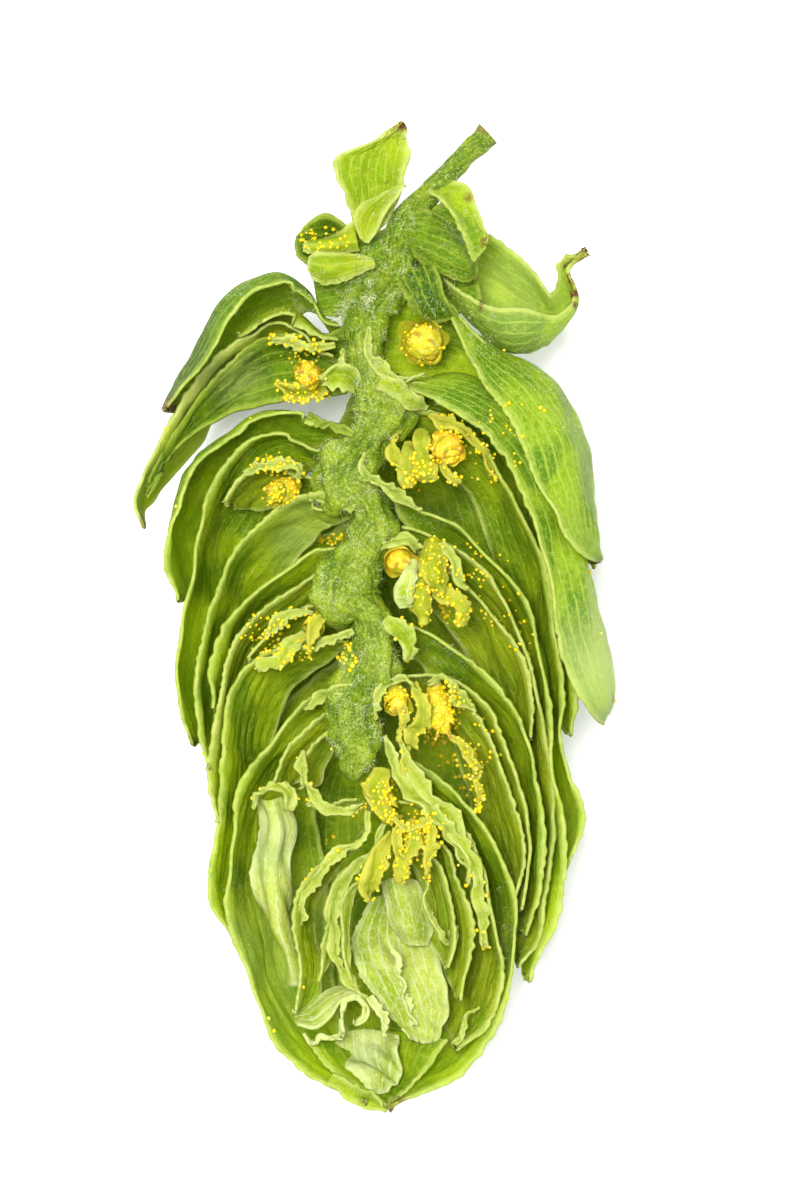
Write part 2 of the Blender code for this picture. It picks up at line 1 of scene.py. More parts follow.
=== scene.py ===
"""The looks of a hop cone cut in half lengthwise, on a pale floor.

The cone lies on its rounded back with the cut face up. Every leaf is a thin closed sheet with
veins, waves and a pale cut edge; the strig is a lumpy stem; the florets are cups round an ovary.
Resin glands and hairs are joined meshes of many small bodies. Lengths in the tables are in
millimetres and angles in degrees.
"""
import logging
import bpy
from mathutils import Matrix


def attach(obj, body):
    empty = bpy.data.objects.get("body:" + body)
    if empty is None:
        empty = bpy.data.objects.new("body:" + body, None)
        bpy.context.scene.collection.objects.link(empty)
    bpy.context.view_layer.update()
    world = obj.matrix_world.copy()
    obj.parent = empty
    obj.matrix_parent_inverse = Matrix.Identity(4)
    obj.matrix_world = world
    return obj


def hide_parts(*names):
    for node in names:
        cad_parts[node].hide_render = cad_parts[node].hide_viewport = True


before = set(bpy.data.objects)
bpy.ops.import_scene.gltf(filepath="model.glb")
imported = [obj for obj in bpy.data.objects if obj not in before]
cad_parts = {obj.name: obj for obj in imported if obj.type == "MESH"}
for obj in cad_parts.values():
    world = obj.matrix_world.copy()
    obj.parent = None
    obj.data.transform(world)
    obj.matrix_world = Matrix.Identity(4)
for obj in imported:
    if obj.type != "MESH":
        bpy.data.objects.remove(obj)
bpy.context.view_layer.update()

import zlib
from dataclasses import dataclass, field
from enum import Enum
from math import pi, radians
from typing import Iterable, Optional, Sequence

import bmesh
import bpy
import numpy as np
from mathutils import Vector

log = logging.getLogger("hop_cone")

MM = 0.001
Colour = tuple[float, float, float]

CONE_AXIS_X = -0.3       # the cone's axis, beside the origin
CUT_Z = 7.05             # height of the cut plane
DEPTH_RATIO = 0.84       # how deep the cone is below the cut plane, against its half width
RISE_RATIO = 0.5         # the same for a blade that stands above the cut plane
DROOP = 3.0              # how far a blade's keel hangs towards the tip, beyond its cut edge
DROOP_START_R = 4.0      # radius from which the droop is whole
TIP_Y = -19.6            # the cone's tip, where the droop has died out
DROOP_WHOLE_Y = 8.0      # from here up the droop is whole
LEAF_THICKNESS = 0.12
VEIN_SPACING = 0.42
SAME_PLACE = 5e-7        # points nearer to each other than this, in metres, become one
SMOOTH_BASE = 0.9        # a leaf is smooth at its base and uneven from here on
WRINKLE_STRETCH = 2.5    # how much longer wrinkles are along a leaf than across it


# ---------------------------------------------------------------------------------- shapes


def smooth_path(points: Sequence, where: np.ndarray) -> np.ndarray:
    """Return a smooth curve through points.

    Args:
        points: Control points, or rows of them.
        where: Shares of the curve's length, from 0 to 1.

    Returns:
        The points of the curve, or the rows.
    """
    points = np.asarray(points, dtype=float)
    gaps = np.linalg.norm(np.diff(points, axis=0), axis=-1)
    gaps = gaps.reshape(len(gaps), -1).mean(axis=1)
    at = np.concatenate(([0.0], np.cumsum(gaps)))
    slopes = np.gradient(points, at, axis=0)
    reading = np.asarray(where) * at[-1]
    index = np.clip(np.searchsorted(at, reading, side="right") - 1, 0, len(gaps) - 1)
    extra = (1,) * (points.ndim - 1)
    gap = gaps[index].reshape(-1, *extra)
    t = ((reading - at[index]) / gaps[index]).reshape(-1, *extra)
    start = (2 * t**3 - 3 * t**2 + 1) * points[index] + (t**3 - 2 * t**2 + t) * gap * slopes[index]
    end = (3 * t**2 - 2 * t**3) * points[index + 1] + (t**3 - t**2) * gap * slopes[index + 1]
    return start + end


def smoothstep(share: np.ndarray) -> np.ndarray:
    """Ease a share from 0 to 1."""
    share = np.clip(share, 0.0, 1.0)
    return share * share * (3.0 - 2.0 * share)


def on_cone(radius: np.ndarray, y: np.ndarray, angle: np.ndarray) -> np.ndarray:
    """Return points round the cone's axis.

    Args:
        radius: Distance from the axis, negative on the left.
        y: Place along the axis.
        angle: Turn below the cut plane, in radians.

    Returns:
        The points, with x, y and z last.
    """
    whole = np.clip((y - TIP_Y) / (DROOP_WHOLE_Y - TIP_Y), 0.0, 1.0)
    droop = DROOP * whole * smoothstep(np.abs(radius) / DROOP_START_R)
    ratio = np.where(np.sin(angle) > 0.0, DEPTH_RATIO, RISE_RATIO)
    x = CONE_AXIS_X + radius * np.cos(angle)
    z = CUT_Z - ratio * np.abs(radius) * np.sin(angle)
    return np.stack((x, y - droop * np.sin(angle) ** 2, np.maximum(z, 0.0)), axis=-1)


def blade_share(along: np.ndarray, full: float, root: float, widened: float = 0.45,
                tip: float = 0.1) -> np.ndarray:
    """Return how much of its reach a blade covers, along its length."""
    past = np.clip((along - full) / (1.0 - full), 0.0, 1.0)
    narrowing = tip + (1.0 - tip) * np.sqrt(1.0 - past**2)
    return narrowing * (root + (1.0 - root) * smoothstep(along / widened))


def seed_of(name: str, salt: int = 0) -> int:
    """Return a number that is always the same for a name."""
    return zlib.crc32(f"{name}:{salt}".encode()) % (2**31)


@dataclass(frozen=True)
class Ripple:
    """A smooth seeded unevenness, between about -1 and 1.

    Attributes:
        seed: What tells one ripple from another.
        length: Its wavelength in millimetres.
        waves: How many waves it sums.
    """

    seed: int
    length: float
    waves: int = 7

    def over(self, first: np.ndarray, second: float | np.ndarray = 0.0,
             third: float | np.ndarray = 0.0, stretch: float = 1.0) -> np.ndarray:
        """Return the unevenness at places.

        Args:
            first: The first coordinate, in millimetres.
            second: The second coordinate.
            third: The third coordinate.
            stretch: How much longer its waves are along the first coordinate.

        Returns:
            The unevenness, as an array like the places.
        """
        chance = np.random.RandomState(self.seed)
        total = 0.0
        for _ in range(self.waves):
            way = chance.normal(size=3)
            way /= np.linalg.norm(way)
            turns = 2.0 * pi / (self.length * chance.uniform(0.7, 1.6))
            phase = chance.uniform(0.0, 2.0 * pi)
            total = total + np.sin(turns * (first * way[0] / stretch + second * way[1]
                                            + third * way[2]) + phase)
        return total / np.sqrt(self.waves)


def unit(vectors: np.ndarray) -> np.ndarray:
    """Return vectors with a length of 1."""
    return vectors / np.maximum(np.linalg.norm(vectors, axis=-1, keepdims=True), 1e-9)


@dataclass(frozen=True)
class Relief:
    """How uneven a leaf is, in millimetres.

    Attributes:
        wave: How far its edges swing to and fro.
        wave_length: The length of those swings.
        ragged: How far its edges run in and out.
        bulge: How far its face bulges.
        bulge_length: The length of the bulges.
        wrinkle: The height of its wrinkles.
        wrinkle_length: The length of the wrinkles.
        vein: The height of its veins.
    """

    wave: float = 0.05
    wave_length: float = 3.6
    ragged: float = 0.06
    bulge: float = 0.12
    bulge_length: float = 3.0
    wrinkle: float = 0.03
    wrinkle_length: float = 0.6
    vein: float = 0.014


@dataclass
class Sheet:
    """The worked-out surface of a leaf.

    Attributes:
        points: Points of its outer face, by place along and across.
        leaf: For each point, the length from its base, its place among the veins and its
            distance from the nearest edge.
        marks: For each point, how brown, how pale and of what tone it is.
    """

    points: np.ndarray
    leaf: np.ndarray
    marks: np.ndarray


def roughened(name: str, points: np.ndarray, relief: Relief) -> Sheet:
    """Give a smooth sheet its waves, bulges, wrinkles, veins and ragged edges.

    Args:
        name: The leaf's name, which seeds its unevenness.
        points: Points of the smooth sheet, in millimetres, by place along and across.
        relief: How uneven it is.

    Returns:
        The uneven sheet.
    """
    steps_along = np.linalg.norm(np.diff(points, axis=0), axis=-1)
    steps_across = np.linalg.norm(np.diff(points, axis=1), axis=-1)
    along_mm = np.zeros(points.shape[:2])
    along_mm[1:] = np.cumsum(steps_along, axis=0)
    across_mm = np.zeros(points.shape[:2])
    across_mm[:, 1:] = np.cumsum(steps_across, axis=1)
    to_low = across_mm
    to_high = across_mm[:, -1:] - across_mm
    to_tip = along_mm[-1:] - along_mm
    tangent_along = unit(np.gradient(points, axis=0))
    tangent_across = unit(np.gradient(points, axis=1))
    normal = unit(np.cross(tangent_along, tangent_across))
    mid = points.shape[0] // 2
    veins = max(2.0, np.round(across_mm[mid, -1] / VEIN_SPACING))
    vein_place = np.linspace(0.0, veins, points.shape[1])[None, :] + np.zeros_like(along_mm)
    rise = smoothstep(along_mm / SMOOTH_BASE)

    def ripple(salt: int, length: float, across: float | np.ndarray = 0.0,
               stretch: float = 1.0) -> np.ndarray:
        """Return one of the leaf's own ripples."""
        return Ripple(seed_of(name, salt), length).over(along_mm, across, stretch=stretch)

    low_wave = ripple(1, relief.wave_length) * (0.6 + 0.5 * ripple(10, 5.0))
    high_wave = ripple(2, relief.wave_length * 1.2)
    lift = relief.wave * (low_wave * np.exp(-to_low / 0.55) + high_wave * np.exp(-to_high / 0.9))
    calm = 0.3 + 0.7 * smoothstep(to_low / 1.6)
    lift += relief.bulge * calm * ripple(3, relief.bulge_length, across_mm)
    lift += relief.wrinkle * ripple(4, relief.wrinkle_length, across_mm, WRINKLE_STRETCH)
    lift += relief.vein * (np.cos(2.0 * pi * vein_place) ** 2) * smoothstep(to_low / 0.5)
    ragged_low = 0.25 * ripple(5, 0.9) + 0.75 * ripple(8, 0.3)
    ragged_high = ripple(6, 1.4)
    shift = relief.ragged * (ragged_low * np.exp(-to_low / 0.4)
                             + 1.5 * ragged_high * np.exp(-to_high / 0.6))
    rough = points + normal * (lift * rise)[..., None] + tangent_across * (shift * rise)[..., None]
    rim = np.minimum(np.minimum(to_low, to_high), to_tip)
    leaf = np.stack((along_mm, vein_place, rim), axis=-1)
    tone = ripple(7, 2.5, across_mm)
    marks = np.stack((np.zeros_like(rim), np.zeros_like(rim), tone), axis=-1)
    return Sheet(rough, leaf, marks)


# --------------------------------------------------------------------------------- finishes

TISSUE_SHINE = 0.19      # how strongly soft tissue reflects
LEAF_BUMP = 0.028        # the depth of a leaf's fine relief, in millimetres
DRY_BROWN = (0.16, 0.055, 0.015)
DRY_GLOW = (0.20, 0.06, 0.01)
STEM_SHADE = (0.045, 0.095, 0.001)
STEM_GREEN = (0.17, 0.27, 0.003)
STEM_LIGHT = (0.29, 0.36, 0.012)
STEM_PALE = (0.33, 0.40, 0.03)
STEM_DARK_GRIT = (0.05, 0.10, 0.001)
STEM_LIGHT_GRIT = (0.42, 0.50, 0.14)
STEM_CUT_END = (0.20, 0.12, 0.03)
STEM_GLOW = (0.28, 0.36, 0.004)
WAX_GREEN = (0.40, 0.47, 0.02)
WAX_YELLOW = (0.64, 0.58, 0.02)
WAX_ORANGE = (0.86, 0.50, 0.03)
WAX_CRUMB = (0.92, 0.72, 0.08)
WAX_GLOW = (0.90, 0.72, 0.08)
STYLE_BROWN = (0.42, 0.13, 0.07)
RESIN_YELLOW = (0.80, 0.66, 0.008)
RESIN_AMBER = (0.76, 0.52, 0.005)
RESIN_PALE = (0.80, 0.82, 0.12)
RESIN_GLOW = (1.0, 0.80, 0.05)
HAIR_GREEN = (0.32, 0.48, 0.04)
HAIR_WHITE = (0.95, 0.97, 0.66)
HAIR_GREEN_GLOW = (0.50, 0.66, 0.06)
HAIR_WHITE_GLOW = (0.85, 0.92, 0.50)
FLOOR_TONES = ((0.93, 0.93, 0.93), (0.95, 0.95, 0.95))


@dataclass(frozen=True)
class LeafLook:
    """The colours of one face of a leaf.

    Attributes:
        name: The material's name.
        face: The colour between the veins.
        deep: The colour of its darker patches.
        vein: The colour of the veins.
        edge: The colour of the cut edge.
        pale: The colour of its palest parts.
        glow: The colour of light that comes through.
        glow_share: How much light comes through.
        roughness: How dull it is.
        veining: How much the veins stand out in colour.
        relief: How much they stand out in height.
    """

    name: str
    face: Colour
    deep: Colour
    vein: Colour
    edge: Colour
    pale: Colour
    glow: Colour
    glow_share: float = 0.45
    roughness: float = 0.42
    veining: float = 0.5
    relief: float = 0.6


BRACT_OUTER = LeafLook(
    "bract_outer", (0.27, 0.42, 0.005), (0.09, 0.21, 0.001), (0.42, 0.55, 0.06),
    (0.50, 0.60, 0.11), (0.52, 0.62, 0.20), (0.46, 0.62, 0.001), 0.38, 0.38, 0.8)
BRACT_INNER = LeafLook(
    "bract_inner", (0.34, 0.47, 0.003), (0.13, 0.25, 0.001), (0.47, 0.57, 0.05),
    (0.54, 0.63, 0.13), (0.54, 0.62, 0.20), (0.60, 0.73, 0.001), 0.40, 0.36, 0.45)
LEAFLET_OUTER = LeafLook(
    "bracteole_outer", (0.32, 0.42, 0.005), (0.17, 0.29, 0.001), (0.45, 0.53, 0.05),
    (0.56, 0.64, 0.15), (0.56, 0.62, 0.24), (0.52, 0.63, 0.001), 0.40, 0.40, 0.7)
LEAFLET_INNER = LeafLook(
    "bracteole_inner", (0.35, 0.44, 0.005), (0.19, 0.31, 0.001), (0.48, 0.55, 0.06),
    (0.58, 0.65, 0.16), (0.59, 0.64, 0.26), (0.55, 0.65, 0.001), 0.40, 0.40, 0.6)
PALE_OUTER = LeafLook(
    "pale_outer", (0.45, 0.54, 0.06), (0.28, 0.40, 0.012), (0.64, 0.70, 0.29),
    (0.66, 0.72, 0.28), (0.70, 0.75, 0.44), (0.60, 0.70, 0.02), 0.40, 0.36, 0.9)
PALE_INNER = LeafLook(
    "pale_inner", (0.50, 0.58, 0.08), (0.31, 0.43, 0.015), (0.68, 0.73, 0.34),
    (0.68, 0.74, 0.30), (0.73, 0.78, 0.48), (0.63, 0.72, 0.03), 0.40, 0.34, 0.9)
# Darker copies of the leaf looks: painted shade for leaves that lie in shadow, at the top round the stalk
# and on the left.
SHADE_OUTER = LeafLook(
    "painted_shade_outer", (0.10, 0.21, 0.001), (0.025, 0.08, 0.001), (0.27, 0.38, 0.03),
    (0.31, 0.41, 0.04), (0.44, 0.53, 0.14), (0.27, 0.40, 0.001), 0.34, 0.42, 0.9)
SHADE_INNER = LeafLook(
    "painted_shade_inner", (0.13, 0.25, 0.001), (0.035, 0.10, 0.001), (0.30, 0.40, 0.03),
    (0.34, 0.44, 0.045), (0.46, 0.55, 0.14), (0.31, 0.45, 0.001), 0.36, 0.42, 0.8)
PERIANTH_OUTER = LeafLook(
    "perianth_outer", (0.42, 0.48, 0.014), (0.26, 0.36, 0.004), (0.56, 0.60, 0.09),
    (0.64, 0.62, 0.08), (0.66, 0.68, 0.28), (0.57, 0.62, 0.006), 0.45, 0.36, 0.5)
PERIANTH_INNER = LeafLook(
    "perianth_inner", (0.46, 0.51, 0.016), (0.29, 0.38, 0.004), (0.58, 0.61, 0.09),
    (0.66, 0.63, 0.08), (0.66, 0.68, 0.28), (0.60, 0.63, 0.006), 0.45, 0.36, 0.5)


class Tissue(Enum):
    """The kinds of leaf tissue, and darker copies of them that paint shade: the record's slot, and the
    looks of both faces.
    """

    BRACT = ("bract", BRACT_OUTER, BRACT_INNER)
    LEAFLET = ("bracteole", LEAFLET_OUTER, LEAFLET_INNER)
    PALE = ("inner_bracteole", PALE_OUTER, PALE_INNER)
    PERIANTH = ("floret", PERIANTH_OUTER, PERIANTH_INNER)
    # Painted shade: the darker looks on both faces, for leaves that lie in shadow.
    COLLAR = ("bract", SHADE_OUTER, SHADE_INNER)
    # A bract with painted shade on its outer face and the plain bract look inside.
    DARK_BACKED = ("bract", SHADE_OUTER, BRACT_INNER)


class Graph:
    """Adds nodes to a node tree and joins them."""

    def __init__(self, tree: bpy.types.NodeTree) -> None:
        """Take the tree to add to."""
        self.tree = tree

    def join(self, value: object, socket: bpy.types.NodeSocket) -> None:
        """Link a socket to another, or set its plain value."""
        if isinstance(value, bpy.types.NodeSocket):
            self.tree.links.new(value, socket)
        elif isinstance(value, tuple) and socket.type == "RGBA":
            socket.default_value = (*value, 1.0)
        else:
            socket.default_value = value

    def add(self, kind: str, inputs: Optional[dict] = None, **settings: object) -> bpy.types.Node:
        """Add a node.

        Args:
            kind: The node's type.
            inputs: Values or sockets for its inputs, by name or place.
            **settings: Its other settings.

        Returns:
            The node.
        """
        node = self.tree.nodes.new(kind)
        for key, value in settings.items():
            setattr(node, key, value)
        for key, value in (inputs or {}).items():
            self.join(value, node.inputs[key])
        return node

    def place(self) -> bpy.types.NodeSocket:
        """Return the place in the object."""
        return self.add("ShaderNodeTexCoord").outputs["Object"]

    def carried(self, name: str) -> bpy.types.NodeSocket:
        """Return the values that the mesh carries under a name."""
        return self.add("ShaderNodeAttribute", attribute_name=name).outputs["Vector"]

    def apart(self, vector: bpy.types.NodeSocket) -> bpy.types.NodeOutputs:
        """Return the three values of a vector, by their letters."""
        return self.add("ShaderNodeSeparateXYZ", {0: vector}).outputs

    def math(self, operation: str, first: object, second: object = 0.0, third: object = 0.0,
             clamp: bool = False) -> bpy.types.NodeSocket:
        """Return the result of a Math node."""
        node = self.add("ShaderNodeMath", {0: first, 1: second, 2: third}, operation=operation,
                        use_clamp=clamp)
        return node.outputs[0]

    def ramp(self, value: object, low: float, high: float, to_low: float = 0.0,
             to_high: float = 1.0) -> bpy.types.NodeSocket:
        """Return a value eased from one range into another."""
        node = self.add("ShaderNodeMapRange", {"Value": value, "From Min": low, "From Max": high,
                                               "To Min": to_low, "To Max": to_high},
                        interpolation_type="SMOOTHSTEP")
        return node.outputs["Result"]

    def mix(self, share: object, first: object, second: object) -> bpy.types.NodeSocket:
        """Return a mix of two colours."""
        node = self.add("ShaderNodeMix", data_type="RGBA")
        self.join(share, node.inputs[0])
        self.join(first, node.inputs[6])
        self.join(second, node.inputs[7])
        return node.outputs[2]

    def noise(self, place: object, per_mm: float, detail: float = 2.0,
              roughness: float = 0.5) -> bpy.types.NodeSocket:
        """Return a noise, with a size given as waves in a millimetre."""
        node = self.add("ShaderNodeTexNoise", {"Vector": place, "Scale": per_mm / MM,
                                               "Detail": detail, "Roughness": roughness})
        return node.outputs["Fac"]


def new_group(name: str, inputs: dict[str, str], outputs: dict[str, str]) -> tuple:
    """Make a shader node group.

    Args:
        name: The group's name.
        inputs: Socket types by name.
        outputs: The same for what it gives.

    Returns:
        The group, its graph, and its input and output nodes.
    """
    tree = bpy.data.node_groups.new(name, "ShaderNodeTree")
    for label, kind in inputs.items():
        tree.interface.new_socket(label, in_out="INPUT", socket_type=f"NodeSocket{kind}")
    for label, kind in outputs.items():
        tree.interface.new_socket(label, in_out="OUTPUT", socket_type=f"NodeSocket{kind}")
    graph = Graph(tree)
    return tree, graph, graph.add("NodeGroupInput"), graph.add("NodeGroupOutput")


def vein_group() -> bpy.types.NodeTree:
    """Return the group that draws a leaf's long veins and the net between them."""
    tree, graph, given, result = new_group(
        "leaf_veins", {"Leaf": "Vector", "Place": "Vector"},
        {"Lines": "Float", "Net": "Float", "Height": "Float"})
    leaf = graph.apart(given.outputs["Leaf"])
    wobble = graph.noise(given.outputs["Place"], 0.9)
    vein = graph.math("MULTIPLY_ADD", wobble, 0.55, leaf["Y"])
    from_line = graph.math("PINGPONG", vein, 0.5)
    lines = graph.ramp(from_line, 0.02, 0.17, 1.0, 0.0)
    mesh_place = graph.add("ShaderNodeCombineXYZ", {
        0: graph.math("MULTIPLY", leaf["X"], 2.1),
        1: graph.math("MULTIPLY", vein, 1.7)})
    warped = graph.add("ShaderNodeVectorMath", {
        0: mesh_place.outputs[0],
        1: graph.add("ShaderNodeTexNoise", {"Vector": given.outputs["Place"],
                                            "Scale": 1.6 / MM}).outputs["Color"]},
                       operation="ADD")
    cells = graph.add("ShaderNodeTexVoronoi", {"Vector": warped.outputs[0], "Scale": 1.0},
                      feature="DISTANCE_TO_EDGE")
    net = graph.ramp(cells.outputs["Distance"], 0.0, 0.13, 1.0, 0.0)
    both = graph.math("MAXIMUM", lines, graph.math("MULTIPLY", net, 0.5))
    fine = graph.noise(given.outputs["Place"], 4.2, 5.0, 0.8)
    height = graph.math("MULTIPLY_ADD", fine, 7.5, both)
    graph.join(lines, result.inputs["Lines"])
    graph.join(net, result.inputs["Net"])
    graph.join(height, result.inputs["Height"])
    return tree


def leaf_group(veins: bpy.types.NodeTree) -> bpy.types.NodeTree:
    """Return the group that colours a leaf.

    Args:
        veins: The group that draws its veins.

    Returns:
        The group, which gives a colour, a colour for light that comes through, a roughness and
        a height.
    """
    colours = ("Face", "Deep", "Vein", "Edge", "Pale", "Glow")
    tree, graph, given, result = new_group(
        "leaf_colour",
        {"Leaf": "Vector", "Marks": "Vector", "Place": "Vector",
         **{name: "Color" for name in colours}, "Veining": "Float", "Roughness": "Float"},
        {"Colour": "Color", "Glow": "Color", "Roughness": "Float", "Height": "Float"})
    socket = given.outputs
    leaf = graph.apart(socket["Leaf"])
    marks = graph.apart(socket["Marks"])
    pattern = graph.add("ShaderNodeGroup", node_tree=veins)
    graph.join(socket["Leaf"], pattern.inputs["Leaf"])
    graph.join(socket["Place"], pattern.inputs["Place"])
    blotch = graph.noise(socket["Place"], 0.45, 3.0)
    toned = graph.math("MULTIPLY_ADD", marks["Z"], 0.12, blotch)
    colour = graph.mix(graph.ramp(toned, 0.36, 0.62), socket["Deep"], socket["Face"])
    netted = graph.math("MULTIPLY", pattern.outputs["Net"], 0.4)
    drawn = graph.math("MULTIPLY", graph.math("MAXIMUM", pattern.outputs["Lines"], netted),
                       socket["Veining"])
    colour = graph.mix(drawn, colour, socket["Vein"])
    velvet = graph.noise(socket["Place"], 4.5, 4.0, 0.75)
    colour = graph.mix(graph.ramp(velvet, 0.52, 0.66, 0.0, 0.55), colour, socket["Vein"])
    colour = graph.mix(graph.ramp(velvet, 0.36, 0.47, 0.55, 0.0), colour, socket["Deep"])
    worn = graph.ramp(graph.noise(socket["Place"], 1.7, 4.0, 0.7), 0.36, 0.62, 0.5, 1.0)
    edge = graph.math("MULTIPLY", graph.ramp(leaf["Z"], 0.02, 0.36, 1.0, 0.0), worn)
    colour = graph.mix(edge, colour, socket["Edge"])
    glint = graph.ramp(graph.noise(socket["Place"], 5.5, 3.0, 0.7), 0.60, 0.68, 0.0, 0.8)
    near_edge = graph.math("MULTIPLY_ADD", edge, 0.7, 0.3)
    colour = graph.mix(graph.math("MULTIPLY", glint, near_edge), colour, socket["Pale"])
    colour = graph.mix(marks["Y"], colour, socket["Pale"])
    glow = graph.mix(marks["Y"], socket["Glow"], socket["Pale"])
    glow = graph.mix(graph.math("MULTIPLY", edge, 0.6), glow, socket["Edge"])
    glow = graph.mix(graph.math("MULTIPLY", drawn, 0.35), glow, socket["Deep"])
    speckle = graph.noise(socket["Place"], 3.2, 4.0, 0.7)
    brown = graph.math("MULTIPLY", marks["X"], graph.ramp(speckle, 0.40, 0.56), clamp=True)
    scattered = graph.noise(socket["Place"], 0.8, 5.0, 0.75)
    brown = graph.math("MAXIMUM", brown, graph.ramp(scattered, 0.735, 0.78, 0.0, 0.55))
    colour = graph.mix(brown, colour, DRY_BROWN)
    glow = graph.mix(brown, glow, DRY_GLOW)
    rough = graph.math("MULTIPLY_ADD", edge, -0.12, socket["Roughness"])
    graph.join(colour, result.inputs["Colour"])
    graph.join(glow, result.inputs["Glow"])
    graph.join(rough, result.inputs["Roughness"])
    graph.join(pattern.outputs["Height"], result.inputs["Height"])
    return tree


def new_material(name: str) -> tuple[bpy.types.Material, Graph]:
    """Return a material with an empty node tree, and its graph."""
    material = bpy.data.materials.new(name)
    material.use_nodes = True
    material.node_tree.nodes.clear()
    return material, Graph(material.node_tree)


def finish_material(graph: Graph, colour: object, glow: object, share: object, roughness: object,
                    height: object, relief: float, distance: float, coat: float = 0.0) -> None:
    """Add the shaders of soft tissue that lets light through.

    Args:
        graph: The material's graph.
        colour: The colour of its face.
        glow: The colour of light that comes through.
        share: How much of its light comes through.
        roughness: How dull it is.
        height: The height for its bump.
        relief: The strength of the bump.
        distance: The height of the bump, in millimetres.
        coat: How waxy it is.
    """
    bump = graph.add("ShaderNodeBump", {"Height": height, "Strength": relief,
                                        "Distance": distance * MM})
    body = graph.add("ShaderNodeBsdfPrincipled", {
        "Base Color": colour, "Roughness": roughness, "Normal": bump.outputs[0],
        "Specular IOR Level": TISSUE_SHINE, "Coat Weight": coat})
    through = graph.add("ShaderNodeBsdfTranslucent", {"Color": glow, "Normal": bump.outputs[0]})
    both = graph.add("ShaderNodeMixShader", {0: share, 1: body.outputs[0], 2: through.outputs[0]})
    graph.add("ShaderNodeOutputMaterial", {"Surface": both.outputs[0]})


def leaf_material(look: LeafLook, group: bpy.types.NodeTree) -> bpy.types.Material:
    """Return the material of one face of a leaf.

    Args:
        look: Its colours.
        group: The group that colours leaves.

    Returns:
        The material.
    """
    material, graph = new_material(look.name)
    place = graph.place()
    leaf = graph.carried("leaf")
    marks = graph.carried("marks")
    node = graph.add("ShaderNodeGroup", node_tree=group)
    for label, value in (("Leaf", leaf), ("Marks", marks), ("Place", place),
                         ("Face", look.face), ("Deep", look.deep), ("Vein", look.vein),
                         ("Edge", look.edge), ("Pale", look.pale), ("Glow", look.glow),
                         ("Veining", look.veining), ("Roughness", look.roughness)):
        graph.join(value, node.inputs[label])
    out = node.outputs
    finish_material(graph, out["Colour"], out["Glow"], look.glow_share, out["Roughness"],
                    out["Height"], look.relief, LEAF_BUMP)
    return material


def strig_material() -> bpy.types.Material:
    """Return the material of the strig and the stalk."""
    material, graph = new_material("stem_skin")
    place = graph.place()
    leaf = graph.apart(graph.carried("leaf"))
    marks = graph.apart(graph.carried("marks"))
    stretched = graph.add("ShaderNodeCombineXYZ", {
        0: graph.math("MULTIPLY", leaf["X"], 0.8), 1: leaf["Y"]})
    fibre = graph.add("ShaderNodeTexNoise", {"Vector": stretched.outputs[0], "Scale": 1.6,
                                             "Detail": 4.0, "Roughness": 0.6}).outputs["Fac"]
    blotch = graph.noise(place, 0.9, 3.0)
    colour = graph.mix(graph.ramp(fibre, 0.35, 0.65), STEM_SHADE, STEM_GREEN)
    colour = graph.mix(graph.ramp(blotch, 0.45, 0.75, 0.0, 0.6), colour, STEM_LIGHT)
    colour = graph.mix(marks["Y"], colour, STEM_PALE)
    grit = graph.noise(place, 9.0, 3.0, 0.7)
    colour = graph.mix(graph.ramp(grit, 0.36, 0.48, 0.65, 0.0), colour, STEM_DARK_GRIT)
    colour = graph.mix(graph.ramp(grit, 0.54, 0.64, 0.0, 0.6), colour, STEM_LIGHT_GRIT)
    speckle = graph.ramp(graph.noise(place, 3.5, 3.0), 0.35, 0.55)
    brown = graph.math("MULTIPLY", marks["X"], speckle, clamp=True)
    colour = graph.mix(brown, colour, STEM_CUT_END)
    height = graph.math("MULTIPLY_ADD", graph.noise(place, 7.0, 4.0), 0.5, fibre)
    finish_material(graph, colour, STEM_GLOW, 0.2, 0.5, height, 0.9, 0.10)
    return material


def floret_material() -> bpy.types.Material:
    """Return the material of the florets: yellow-green and waxy, orange where they are thick."""
    material, graph = new_material("floret_wax")
    place = graph.place()
    marks = graph.apart(graph.carried("marks"))
    blotch = graph.noise(place, 1.3, 4.0, 0.6)
    colour = graph.mix(graph.ramp(blotch, 0.38, 0.64), WAX_GREEN, WAX_YELLOW)
    colour = graph.mix(marks["Y"], colour, WAX_ORANGE)
    crumbs = graph.ramp(graph.noise(place, 4.5, 2.0), 0.5, 0.62, 0.0, 0.7)
    colour = graph.mix(crumbs, colour, WAX_CRUMB)
    colour = graph.mix(marks["X"], colour, STYLE_BROWN)
    height = graph.math("MULTIPLY_ADD", graph.noise(place, 9.0, 3.0), 0.6, blotch)
    finish_material(graph, colour, WAX_GLOW, 0.35, 0.34, height, 0.8, 0.08, 0.15)
    return material


def gland_material() -> bpy.types.Material:
    """Return the material of the resin glands: clear yellow beads."""
    material, graph = new_material("gland")
    marks = graph.apart(graph.carried("marks"))
    place = graph.place()
    colour = graph.mix(marks["X"], RESIN_YELLOW, RESIN_AMBER)
    colour = graph.mix(graph.math("MULTIPLY", marks["Y"], 0.8), colour, RESIN_PALE)
    finish_material(graph, colour, RESIN_GLOW, 0.4, 0.22, graph.noise(place, 12.0), 0.3,
                    0.02, 0.3)
    return material


def hair_material() -> bpy.types.Material:
    """Return the material of the hairs: fine, white and a little see-through."""
    material, graph = new_material("hair")
    place = graph.place()
    tone = graph.noise(place, 1.1, 2.0)
    tuft = graph.ramp(tone, 0.42, 0.60)
    colour = graph.mix(tuft, HAIR_GREEN, HAIR_WHITE)
    glow = graph.mix(tuft, HAIR_GREEN_GLOW, HAIR_WHITE_GLOW)
    finish_material(graph, colour, glow, 0.35, 0.5, tone, 0.1, 0.01)
    return material


# ----------------------------------------------------------------------------------- leaves


